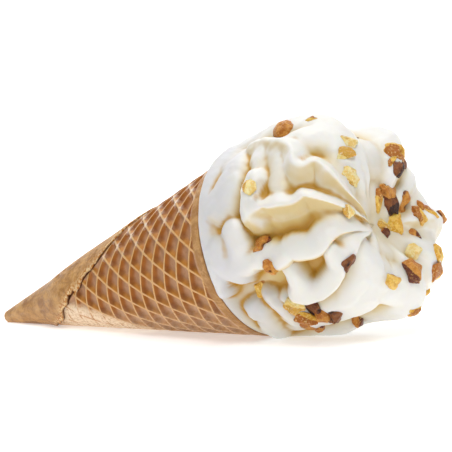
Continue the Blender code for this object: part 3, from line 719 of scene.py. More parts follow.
@dataclass(frozen=True)
class CreamFinish:
    """Vanilla ice cream: ivory on the folds, with painted shade: pale yellow in the hollows and under the
    folds, warm gold down in the crevices.
    """

    ivory: Colour = (0.785, 0.775, 0.735)
    # painted shade in the hollows, between the folds and on what faces down
    straw_shade: Colour = (0.63, 0.475, 0.185)
    # painted shade down in the crevices
    gold: Colour = (0.54, 0.29, 0.035)
    cool: Colour = (0.655, 0.65, 0.655)      # of the smooth collar, in the wafer's shade
    roughness: float = 0.38
    cloud_size: float = 9.0 * MM
    fine_size: float = 0.7 * MM
    bubble_size: float = 1.1 * MM

    def make(self) -> bpy.types.Material:
        """Build the material.

        Returns:
            The finished material, which reads the numbers that the ice cream stores.
        """
        shader = Shader("cream", self.roughness)
        hollow = shader.attribute("hollow")
        dip = shader.attribute("dip")
        crevice = shader.attribute("crevice")
        underside_shade = shader.attribute("underside_shade")
        collar = shader.attribute("collar")
        clouds = shader.grain(self.cloud_size, 3.0, 0.5)
        fine = shader.grain(self.fine_size, 3.0, 0.6)

        colour = shader.blend(collar, self.ivory, self.cool)
        # painted shade: pale yellow in the hollows, between the folds and on what faces down, less of it on
        # the collar
        straw_shade_share = shader.maths("MAXIMUM", hollow, shader.maths("MULTIPLY", dip, 0.75))
        straw_shade_share = shader.maths("MAXIMUM", straw_shade_share, shader.maths("MULTIPLY", underside_shade, 0.85))
        calm = shader.maths("SUBTRACT", 1.0, shader.maths("MULTIPLY", collar, 0.48))
        colour = shader.blend(shader.maths("MULTIPLY", straw_shade_share, calm), colour, self.straw_shade)
        # painted shade in the crevices
        colour = shader.blend(crevice, colour, self.gold)
        shader.set("Base Color", colour)

        ripples = shader.bump(clouds, 0.8 * MM, 0.25)
        skin = shader.bump(fine, 0.10 * MM, 0.30, ripples)
        bubbles = shader.span(shader.cells(self.bubble_size), 0.02, 0.20)
        shader.set("Normal", shader.bump(bubbles, 0.10 * MM, 0.35, skin))
        shader.set("Roughness", shader.span(fine, 0.3, 0.7, 0.34, 0.50))
        shader.scatter(0.45, 1.8 * MM, (1.0, 0.72, 0.40))
        shader.set("Specular IOR Level", 0.40)
        return shader.material


class NutKind(Enum):
    """The kinds of chopped nut, by their look."""

    PALE = "pale"
    GOLD = "gold"
    BROWN = "brown"
    DARK = "dark"


@dataclass(frozen=True)
class NutFinish:
    """Roasted, chopped nut: grainy flesh, with skin left on a part of it."""

    kind: NutKind
    flesh: Colour
    glow: Colour
    skin: Colour
    grain: Colour
    roughness: float = 0.38
    crumb_size: float = 0.55 * MM
    patch_size: float = 1.6 * MM
    pore_size: float = 0.6 * MM

    def make(self) -> bpy.types.Material:
        """Build the material.

        Returns:
            The finished material, which reads where each nut has its skin and its dents.
        """
        shader = Shader(f"nut_{self.kind.value}", self.roughness)
        crumbs = shader.grain(self.crumb_size, 4.0, 0.7)
        patches = shader.grain(self.patch_size, 3.0, 0.6)

        colour = shader.blend(shader.span(patches, 0.40, 0.60), self.flesh, self.glow)
        uneven = shader.span(patches, 0.35, 0.65, -0.35, 0.35)
        broken = shader.maths("ADD", shader.attribute("skin"), uneven)
        colour = shader.blend(shader.span(broken, 0.35, 0.75), colour, self.skin)
        colour = shader.blend(shader.span(crumbs, 0.54, 0.66, 0.0, 0.75), colour, self.grain)
        colour = shader.blend(shader.attribute("dent"), colour, self.skin)
        shader.set("Base Color", colour)
        normal = shader.bump(crumbs, 0.5 * MM, 0.9)
        normal = shader.bump(shader.cells(self.pore_size), 0.12 * MM, 0.5, normal)
        shader.set("Normal", normal)
        shader.set("Roughness", shader.span(crumbs, 0.3, 0.7, 0.25, 0.50))
        shader.scatter(0.25, 1.2 * MM, (1.0, 0.5, 0.15))
        shader.set("Specular IOR Level", 0.35)
        return shader.material


# flesh, lighter flesh, skin and grains of each kind
NUT_COLOURS = {
    NutKind.PALE: ((0.86, 0.62, 0.19), (0.92, 0.77, 0.38), (0.68, 0.38, 0.06), (0.95, 0.86, 0.62)),
    NutKind.GOLD: ((0.72, 0.37, 0.03), (0.88, 0.58, 0.12), (0.44, 0.14, 0.012), (0.95, 0.76, 0.34)),
    NutKind.BROWN: ((0.48, 0.16, 0.018), (0.66, 0.30, 0.05), (0.13, 0.026, 0.008), (0.74, 0.44, 0.14)),
    NutKind.DARK: ((0.15, 0.042, 0.012), (0.27, 0.09, 0.022), (0.030, 0.009, 0.006), (0.34, 0.15, 0.05)),
}


@dataclass(frozen=True)
class FloorFinish:
    """Smooth white paper."""

    white: Colour = (0.96, 0.96, 0.96)
    shade: Colour = (0.95, 0.95, 0.955)
    roughness: float = 0.85
    glow: float = 0.40               # what it gives off, so that it renders white

    def make(self) -> bpy.types.Material:
        """Build the material.

        Returns:
            The finished material.
        """
        shader = Shader("white_paper", self.roughness)
        tint = shader.grain(60.0 * MM, 2.0, 0.5)
        shader.set("Base Color", shader.blend(tint, self.white, self.shade))
        shader.set("Emission Color", (1.0, 1.0, 1.0))
        shader.set("Emission Strength", self.glow)
        shader.set("Specular IOR Level", 0.1)
        return shader.material


# ---------------------------------------------------------------- the wafer
class Ribs(NamedTuple):
    """One family of parallel ribs in the unrolled sheet."""

    across: float                # direction across them, in degrees
    spacing: float
    offset: float
    broad: int                   # the side of each rib on which the pit's wall is broad: 1 or -1

    def coordinate(self, sheet: np.ndarray) -> np.ndarray:
        """Give each sheet point's distance across the family, from the point of the cone."""
        return sheet[:, 0] * math.cos(math.radians(self.across)) + sheet[:, 1] * math.sin(
            math.radians(self.across))

    def offside(self, sheet: np.ndarray) -> np.ndarray:
        """Give how far points lie beyond the middle of the nearest rib, or short of it when negative."""
        beyond = self.coordinate(sheet) - self.offset + self.spacing / 2.0
        return beyond % self.spacing - self.spacing / 2.0


@dataclass
class Spread:
    """The sheet's vertices, one a row, with what the relief and the colours are worked out from."""

    chart: np.ndarray            # slant distance, and width below the seam within the wafer's edges
    sheet: np.ndarray            # the same places in the unrolled sheet
    share: np.ndarray            # how deep the waffle is pressed there
    offsides: list[np.ndarray]   # distance past the nearest rib of each family, to its broad wall
    flap: np.ndarray             # how far the wafer has risen onto its own first turn
    near_edge: np.ndarray        # distance to the flap's edge
    near_start: np.ndarray       # distance to the first turn's start, under that edge
    turned: np.ndarray           # steps taken down over the flap's turned edge
    rounded: np.ndarray          # lift of the rim's rounded corner
    seam: np.ndarray             # 1 where the flap has its full thickness, 0 at the tip

    @property
    def slant(self) -> np.ndarray:
        """Distance of each vertex from the sharp point."""
        return self.chart[:, 0]

    @property
    def below(self) -> np.ndarray:
        """Width of the sheet between each vertex and the seam."""
        return self.chart[:, 1]


@dataclass
class Wafer:
    """The rolled wafer: waffle relief, plain flap, ragged seam, rim and inside."""

    cone: ConeFrame
    rim_band: float = 3.7 * MM
    tip_slant: float = 9.0 * MM
    inner_tip_slant: float = 17.0 * MM
    seam_reach: float = 23.2 * MM
    seam_foot: float = math.radians(-63.9)
    seam_bend: float = math.radians(8.0)     # by which the seam's edge turns off its straight line
    bend_start: float = 66.0 * MM
    bend_end: float = 94.0 * MM
    seam_start: float = 28.0 * MM
    seam_full: float = 42.0 * MM
    flap: float = 1.3 * MM
    flap_left: float = 0.45          # share of it that is left further out
    thin_start: float = 46.0 * MM
    thin_end: float = 74.0 * MM
    flap_ramp: float = 0.42
    plain_flap: float = math.radians(13.0)
    plain_start: float = math.radians(0.9)
    pattern_start: float = 43.0 * MM
    crest: float = 0.20 * MM         # half the width of a rib's top
    slope: float = 0.75 * MM         # width of a pit's wall at the rim, right or top
    broad_slope: float = 1.65 * MM   # width of its wall at the left or bottom
    pit_depth: float = 1.35 * MM
    fade_slant: float = 46.0 * MM    # where the relief fades toward the tip
    fade_more: float = 38.0 * MM     # how much further out it does so on the underside
    fade_before: float = 8.0 * MM
    fade_after: float = 9.0 * MM
    underside: float = math.radians(-95.0)   # the angle where that is most
    swell: float = 0.42 * MM         # of the flap along its edge, and its distance from it
    swell_reach: float = 0.9 * MM
    stray_reach: float = 2.5 * MM    # how far from the edge its raggedness is felt
    ribs_a: Ribs = Ribs(51.0, 6.06 * MM, -1.74 * MM, 1)
    ribs_b: Ribs = Ribs(154.8, 5.56 * MM, -0.81 * MM, -1)

    # where the grid's lines lie between two ribs
    CELL_LINES = (0.0, 0.035, 0.08, 0.135, 0.20, 0.29, 0.5, 0.71, 0.80, 0.865, 0.92, 0.965)
    MERGE = 0.04 * MM
    # how many strips each plain part has
    FLAP_STEPS = 26
    START_STEPS = 3
    BAND_STEPS = 7
    PALE_STEPS = 20
    TIP_STEPS = 24
    LIP_STEP = 0.3 * MM
    # how the flap's edge turns down into the crevice: mm across the seam, share of the flap's lift
    LIP = ((0.0, 1.0), (0.30, 0.92), (0.50, 0.66), (0.55, 0.34), (0.42, 0.06), (0.20, -0.14))
    CREVICE = 0.25 * MM
    CREVICE_WIDTH = 0.9 * MM
    CLOSE = 0.01 * MM
    # how the rim's outer corner is rounded: mm past the band, mm of slant, mm of lift
    RIM_STEP = 0.2 * MM
    ROUND = ((0.0, -0.40, 0.0), (0.2, -0.12, -0.10), (0.4, 0.0, -0.40))
    # noises of the edge's raggedness, the flap's swell and the surface: height, grain and seed
    RAGS = ((1.5 * MM, 7.0 * MM, 1.0), (1.5 * MM, 2.6 * MM, 2.0), (0.9 * MM, 1.1 * MM, 3.0))
    SWELLS = ((0.7, 2.2 * MM, 4.0), (0.5, 1.0 * MM, 7.0))
    MEAN_SWELL = 0.6
    DENTS = ((0.10 * MM, 5.0 * MM, 5.0), (0.05 * MM, 1.5 * MM, 6.0))

    @property
    def edge(self) -> float:
        """Width of the whole sheet, where the flap ends."""
        return self.cone.sheet_angle * self.cone.slant

    @property
    def low(self) -> float:
        """Width below the seam where the waffle pattern starts."""
        return self.plain_start * self.cone.slant

    @property
    def high(self) -> float:
        """Width below the seam where it ends."""
        return (self.cone.sheet_angle - self.plain_flap) * self.cone.slant

    @property
    def band(self) -> float:
        """Slant where the plain band of the rim starts."""
        return self.cone.slant - self.rim_band

    @property
    def round_start(self) -> float:
        """Slant where the rim's rounded corner starts."""
        return self.cone.slant - 2.0 * self.RIM_STEP

    def seam_direction(self, slant: np.ndarray) -> np.ndarray:
        """Give the direction of the seam's edge in the unrolled sheet.

        Args:
            slant: distances from the sharp point.

        Returns:
            Directions in radians.
        """
        slant = np.asarray(slant, float)
        bend = self.seam_bend * smooth(self.bend_start, self.bend_end, slant)
        return self.seam_foot + np.arccos(self.seam_reach / np.maximum(slant, self.seam_start)) + bend

    def to_chart(self, sheet: np.ndarray) -> np.ndarray:
        """Turn unrolled x, y into slant distance and width below the seam's edge.

        Args:
            sheet: points in the unrolled sheet.

        Returns:
            The slant and the angle below the seam, times the cone's slant, with z left as it was.
        """
        slant = np.hypot(sheet[:, 0], sheet[:, 1])
        below = self.seam_direction(np.maximum(slant, MM)) - np.arctan2(sheet[:, 1], sheet[:, 0])
        middle = self.cone.sheet_angle / 2.0
        below = (below - middle + math.pi) % (2.0 * math.pi) - math.pi + middle
        return np.column_stack((slant, below * self.cone.slant, sheet[:, 2]))

    def to_sheet(self, chart: np.ndarray) -> np.ndarray:
        """Turn slant distance and width below the seam into unrolled x, y."""
        direction = self.seam_direction(chart[:, 0]) - chart[:, 1] / self.cone.slant
        return np.column_stack((chart[:, 0] * np.cos(direction), chart[:, 0] * np.sin(direction),
                                chart[:, 2]))

    def relief_share(self, chart: np.ndarray) -> np.ndarray:
        """Give how deep the waffle is pressed: fading to the tip and to the underside.

        Args:
            chart: places in chart coordinates.

        Returns:
            Shares of the full depth.
        """
        direction = self.seam_direction(chart[:, 0]) - chart[:, 1] / self.cone.slant
        angle = direction / math.sin(self.cone.half_angle)
        fade = self.fade_slant + self.fade_more * np.maximum(0.0, np.cos(angle - self.underside))
        return smooth(fade - self.fade_before, fade + self.fade_after, chart[:, 0])

    def flap_share(self, chart: np.ndarray) -> np.ndarray:
        """Give how far the wafer has risen onto its own first turn.

        Args:
            chart: places in chart coordinates.

        Returns:
            Shares of the flap's full thickness.
        """
        rise = smooth(1.0 - self.flap_ramp, 1.0, chart[:, 1] / self.cone.slant / self.cone.sheet_angle)
        thinner = 1.0 - (1.0 - self.flap_left) * smooth(self.thin_start, self.thin_end, chart[:, 0])
        return rise * thinner * smooth(self.seam_start, self.seam_full, chart[:, 0])

    def lattice(self) -> Workpiece:
        """Lay a grid whose lines follow the ribs, with most of them on the pits' walls.

        Returns:
            The grid, in sheet coordinates.
        """
        ends = np.array([[slant, share * self.cone.sheet_angle * self.cone.slant, 0.0]
                         for slant in np.linspace(self.pattern_start, self.cone.slant, 12)
                         for share in np.linspace(0.0, 1.0, 24)])
        corners = self.to_sheet(ends)
        lines = []
        for family in (self.ribs_a, self.ribs_b):
            turns = (family.coordinate(corners) - family.offset) / family.spacing
            whole = range(math.floor(turns.min()) - 1, math.ceil(turns.max()) + 2)
            lines.append(np.array([family.offset + (turn + part) * family.spacing
                                   for turn in whole for part in self.CELL_LINES]))
        piece = Workpiece.sheet("wafer", len(lines[0]), len(lines[1]))
        steps = piece.points + 0.5
        column = np.rint(steps[:, 0] * (len(lines[0]) - 1)).astype(int)
        row = np.rint(steps[:, 1] * (len(lines[1]) - 1)).astype(int)
        turns = [math.radians(family.across) for family in (self.ribs_a, self.ribs_b)]
        across = np.array([[math.cos(turn), math.sin(turn)] for turn in turns])
        sheet = np.linalg.solve(across, np.vstack((lines[0][column], lines[1][row]))).T
        piece.points = np.column_stack((sheet, np.zeros(len(sheet))))
        return piece

    def trim(self, piece: Workpiece) -> None:
        """Cut the lattice to the patterned part and grow the plain parts round it.

        Args:
            piece: the lattice, in sheet coordinates; it is left in chart coordinates.
        """
        chart = self.to_chart(piece.points)
        margin = self.ribs_a.spacing
        wide = margin * self.cone.slant / np.maximum(chart[:, 0], margin)
        outside = (chart[:, 0] < self.pattern_start - margin) | (chart[:, 0] > self.band + margin)
        outside |= (chart[:, 1] < self.low - wide) | (chart[:, 1] > self.high + wide)
        piece.points = chart
        piece.drop(outside)
        piece.cut((self.band, 0.0, 0.0), (1.0, 0.0, 0.0))
        piece.cut((self.pattern_start, 0.0, 0.0), (-1.0, 0.0, 0.0))
        piece.cut((0.0, self.high, 0.0), (0.0, 1.0, 0.0))
        piece.cut((0.0, self.low, 0.0), (0.0, -1.0, 0.0))
        piece.merge(self.MERGE)
        for axis, width, steps in (
            (1, self.plain_flap * self.cone.slant, self.FLAP_STEPS),
            (1, -self.low, self.START_STEPS),
            (0, self.round_start - self.band, self.BAND_STEPS),
            (0, 2.0 * self.RIM_STEP, 2),
            (0, self.seam_start - self.pattern_start, self.PALE_STEPS),
            (0, self.tip_slant - self.seam_start, self.TIP_STEPS),
        ):
            piece.widen(axis, [width / steps] * steps)

    def grow_lip(self, piece: Workpiece) -> None:
        """Add the strips that turn the flap's edge down into the crevice.

        Args:
            piece: the sheet, in chart coordinates.
        """
        chart = piece.points
        on_edge = np.abs(chart[:, 1] - self.edge) < piece.NEAR
        on_edge &= chart[:, 0] > self.seam_start - piece.NEAR
        chosen = piece.border & on_edge[piece.edges].all(axis=1)
        with piece.with_edges(chosen):
            for _ in self.LIP[1:]:
                bpy.ops.mesh.extrude_region_move(TRANSFORM_OT_translate={"value": (0.0, self.LIP_STEP, 0.0)})

    @staticmethod
    def mixed(noises: Sequence[tuple[float, float, float]], points: np.ndarray) -> np.ndarray:
        """Add up noises, each with its height, grain and seed, over a set of points."""
        return sum(height * rough(points, grain, seed) for height, grain, seed in noises)

    def ragged(self, slant: np.ndarray) -> np.ndarray:
        """Give how far the seam's crumbled edge strays, in metres, at slant distances."""
        return self.mixed(self.RAGS, np.column_stack((slant, np.zeros_like(slant), np.zeros_like(slant))))

    def spread(self, chart: np.ndarray) -> Spread:
        """Work out where the sheet's vertices lie on the wafer.

        Args:
            chart: the vertices in chart coordinates.

        Returns:
            The vertices with all that the relief and the colours need.
        """
        rounding = np.array(self.ROUND)
        past_band = np.maximum(0.0, chart[:, 0] - self.round_start) / MM
        rim_slant = self.cone.slant + MM * np.interp(past_band, rounding[:, 0], rounding[:, 1])
        inner = chart.copy()
        inner[:, 0] = np.where(past_band > 0.0, rim_slant, inner[:, 0])
        inner[:, 1] = np.minimum(inner[:, 1], self.edge)
        narrow = inner[:, 0] / self.cone.slant
        sheet = self.to_sheet(inner)
        return Spread(
            chart=inner,
            sheet=sheet,
            share=self.relief_share(inner),
            offsides=[family.offside(sheet) * family.broad for family in (self.ribs_a, self.ribs_b)],
            flap=self.flap_share(inner),
            near_edge=(self.edge - inner[:, 1]) * narrow,
            near_start=inner[:, 1] * narrow,
            turned=np.maximum(0.0, chart[:, 1] - self.edge) / self.LIP_STEP,
            rounded=MM * np.interp(past_band, rounding[:, 0], rounding[:, 2]),
            seam=smooth(self.seam_start, self.seam_full, inner[:, 0]),
        )

    def pressed_in(self, spread: Spread) -> np.ndarray:
        """Give how deep each vertex lies in its pit.

        Args:
            spread: the sheet's vertices.

        Returns:
            Shares of a pit's depth: 0 on the ribs and the plain parts.
        """
        depth = np.ones(len(spread.sheet))
        for offside in spread.offsides:
            width = np.where(offside > 0.0, self.broad_slope, self.slope)
            depth = depth * smooth(0.0, 1.0, (np.abs(offside) - self.crest) / width)
        narrow = spread.slant / self.cone.slant
        for distance in (self.band - spread.slant, spread.slant - self.pattern_start,
                         (self.high - spread.below) * narrow, (spread.below - self.low) * narrow):
            depth = depth * smooth(0.0, self.slope, distance)
        return depth

    def lift(self, spread: Spread) -> np.ndarray:
        """Give the lift of each vertex off the wafer's outer surface.

        Args:
            spread: the sheet's vertices.

        Returns:
            The lifts, of which the pits, the flap, its swell, the crevice and the dents are parts.
        """
        lip = np.array(self.LIP)
        lip_lift = np.interp(spread.turned, range(len(lip)), lip[:, 1])
        swell = self.swell * np.exp(-((spread.near_edge - self.swell_reach) / self.swell_reach) ** 2)
        swell = swell * spread.seam * (self.MEAN_SWELL + self.mixed(self.SWELLS, spread.sheet))
        dip = self.CREVICE * (1.0 - smooth(0.0, self.CREVICE_WIDTH, spread.near_start)) * spread.seam
        dents = self.mixed(self.DENTS, spread.sheet)
        for distance in (spread.near_edge, spread.near_start, self.round_start - spread.slant):
            dents = dents * smooth(0.0, 1.5 * MM, distance)
        dents = dents * smooth(self.seam_start - 4.0 * MM, self.seam_full, spread.slant)
        lift = -self.pit_depth * spread.share * self.pressed_in(spread)
        lift = lift + self.flap * spread.flap * lip_lift + spread.rounded
        lift = lift + np.where(spread.turned > 0.0, 0.0, swell) - dip + dents
        return np.minimum(lift, self.flap * spread.flap)

    def roll(self, piece: Workpiece) -> None:
        """Press the pits and roll the sheet up into the cone.

        Args:
            piece: the sheet, in chart coordinates; it is left in its place on the floor.
        """
        chart = piece.points
        spread = self.spread(chart)
        lip = np.array(self.LIP)
        lip_across = np.interp(spread.turned, range(len(lip)), lip[:, 0]) * MM
        stray = self.ragged(spread.slant) * (1.0 - smooth(0.0, self.stray_reach, spread.near_edge))
        across = (lip_across - stray) * spread.seam / np.maximum(spread.slant, MM)
        direction = self.seam_direction(spread.slant) - spread.below / self.cone.slant - across
        angle = direction / math.sin(self.cone.half_angle)
        piece.points = self.cone.on_cone(spread.slant, angle, self.lift(spread))
        piece.keep("slant", spread.slant)
        piece.keep("width", chart[:, 1])
        self.mark(piece, spread, angle)

    def mark(self, piece: Workpiece, spread: Spread, angle: np.ndarray) -> None:
        """Store the numbers that the wafer's finish reads.

        Args:
            piece: the wafer.
            spread: its vertices in the sheet.
            angle: their angles round the axis.
        """
        pressed = smooth(0.1, 0.6, spread.share)
        # which wall of a pit takes the painted light and which the painted shade
        bottom, side = (np.where(offside > 0.0, 1.0 - smooth(0.9, 1.9, offside / MM), 0.0)
                        for offside in spread.offsides)
        rib = np.minimum(*np.abs(spread.offsides))
        crossing = np.hypot(*spread.offsides)
        # painted shade, darker toward each pit's corner by the rib crossing
        corner = smooth(3.3 * MM, 1.5 * MM, crossing) * smooth(0.0, 0.5 * MM, np.minimum(*spread.offsides))
        # how far the surface faces up, for the painted highlights
        lit = smooth(0.15, 0.85, np.sin(angle))
        on_band = smooth(0.2 * MM, 0.9 * MM, spread.slant - self.band)
        on_flap = smooth(self.high - 2.0 * MM, self.high + 1.0 * MM, spread.below)
        hidden = smooth(0.42, 0.56, spread.below / self.edge)
        tip = 1.0 - smooth(28.0 * MM, 44.0 * MM, spread.slant)
        far_tip = hidden * (1.0 - smooth(40.0 * MM, 54.0 * MM, spread.slant))
        faded = (1.0 - smooth(0.0, 0.85, spread.share)) * smooth(34.0 * MM, 46.0 * MM, spread.slant)
        faded = faded * (1.0 - on_flap) * (1.0 - hidden)
        # painted light: lighter toward the underside, lit from below
        underside_light = 0.38 * smooth(0.30, 0.90, np.cos(angle - self.underside)) * pressed
        underside_light = underside_light * (1.0 - on_flap) * (1.0 - on_band)
        # painted shade along the seam's crevice, less of it toward the rim
        gap = np.maximum(smooth(1.0, 3.0, spread.turned),
                         1.0 - smooth(0.1 * MM, 0.5 * MM, spread.near_start))
        gap = gap * (1.0 - 0.75 * smooth(68.0 * MM, 84.0 * MM, spread.slant)) * spread.seam
        marks = {
            "crest": 1.0 - np.minimum(pressed, smooth(self.crest, self.crest + 0.25 * MM, rib)),
            "lit_wall": bottom * pressed,
            "shaded_wall": side * pressed,
            "corner": 0.75 * corner * pressed,
            "glint": np.exp(-(crossing / (1.1 * MM)) ** 2) * lit * pressed,
            "band": on_band,
            # the rim's dark edge, partly painted shade under the cream
            "mouth": smooth(0.0, 0.3 * MM, spread.slant - self.cone.slant + 0.15 * MM),
            "flap": np.maximum.reduce((on_flap, tip, far_tip)),
            # the fading relief's own paleness, and painted light on the underside
            "fade": np.maximum(faded, underside_light),
            "dashes": faded * np.exp(-(rib / (0.35 * MM)) ** 2),
            "lip": np.exp(-(spread.near_edge / (1.3 * MM)) ** 2) * spread.seam,
            "gap": gap * smooth(0.0, 0.3, spread.flap + (spread.below < self.edge / 2.0)),
        }
        for name, values in marks.items():
            piece.keep(name, values)

    def close_seam(self, piece: Workpiece) -> None:
        """Join the flap's turned edge to the first turn along the crevice, and the tip's two sides.

        Args:
            piece: the rolled sheet.
        """
        slant = piece.kept("slant")
        piece.merge(self.CLOSE, slant < self.seam_start + self.CLOSE)
        slant = piece.kept("slant")
        width = piece.kept("width")
        last = self.edge + self.LIP_STEP * (len(self.LIP) - 1)
        above = slant > self.seam_start + self.CLOSE
        outer = np.flatnonzero(above & (np.abs(width - last) < piece.NEAR))
        inner = np.flatnonzero(above & (np.abs(width) < piece.NEAR))
        on_border = np.zeros(len(slant), dtype=bool)
        on_border[piece.edges[piece.border].ravel()] = True
        start = np.flatnonzero(on_border & (np.abs(slant - self.seam_start) < self.CLOSE))
        chains = [np.concatenate((start, chain[np.argsort(slant[chain])])) for chain in (outer, inner)]
        piece.zip_up(chains[0], chains[1], slant)

    def close_ends(self, piece: Workpiece) -> None:
        """Add the inside across the rim, and close the tip.

        Args:
            piece: the rolled sheet, closed along its seam.
        """
        slant = piece.kept("slant")
        at_tip = slant < self.tip_slant + piece.NEAR
        piece.cap(piece.border & at_tip[piece.edges].all(axis=1))
        for inner_slant in (self.cone.slant, 0.55 * self.cone.slant, self.inner_tip_slant):
            first = piece.grow(piece.border)
            points = piece.points
            angle = self.cone.angle_of(points[first:])
            points[first:] = self.cone.on_cone(np.full(len(angle), inner_slant), angle, -self.cone.wall)
            piece.points = points
        piece.cap(piece.border)

    def build(self) -> Workpiece:
        """Model the wafer.

        Returns:
            The finished piece.
        """
        piece = self.lattice()
        self.trim(piece)
        self.grow_lip(piece)
        self.roll(piece)
        self.close_seam(piece)
        self.close_ends(piece)
        piece.points = self.cone.rest(piece.points)
        piece.forget("slant")
        piece.forget("width")
        piece.finish(55.0)
        piece.dress(WaferFinish().make())
        return piece


# ---------------------------------------------------------------- the ice cream
class Fold(NamedTuple):
    """One piped fold of the ice cream; lengths in millimetres."""

    path: tuple                  # its crest: (angle in degrees, way, height above the valleys)
    upper: float                 # reach of the flank on the path's left: the larger angles, going in
    lower: float                 # reach of the flank on its right
    upper_curve: float           # below 1 a full, round flank; above 1 a hollow one
    lower_curve: float
    lean: float = 0.0            # overhang of the crest to the right


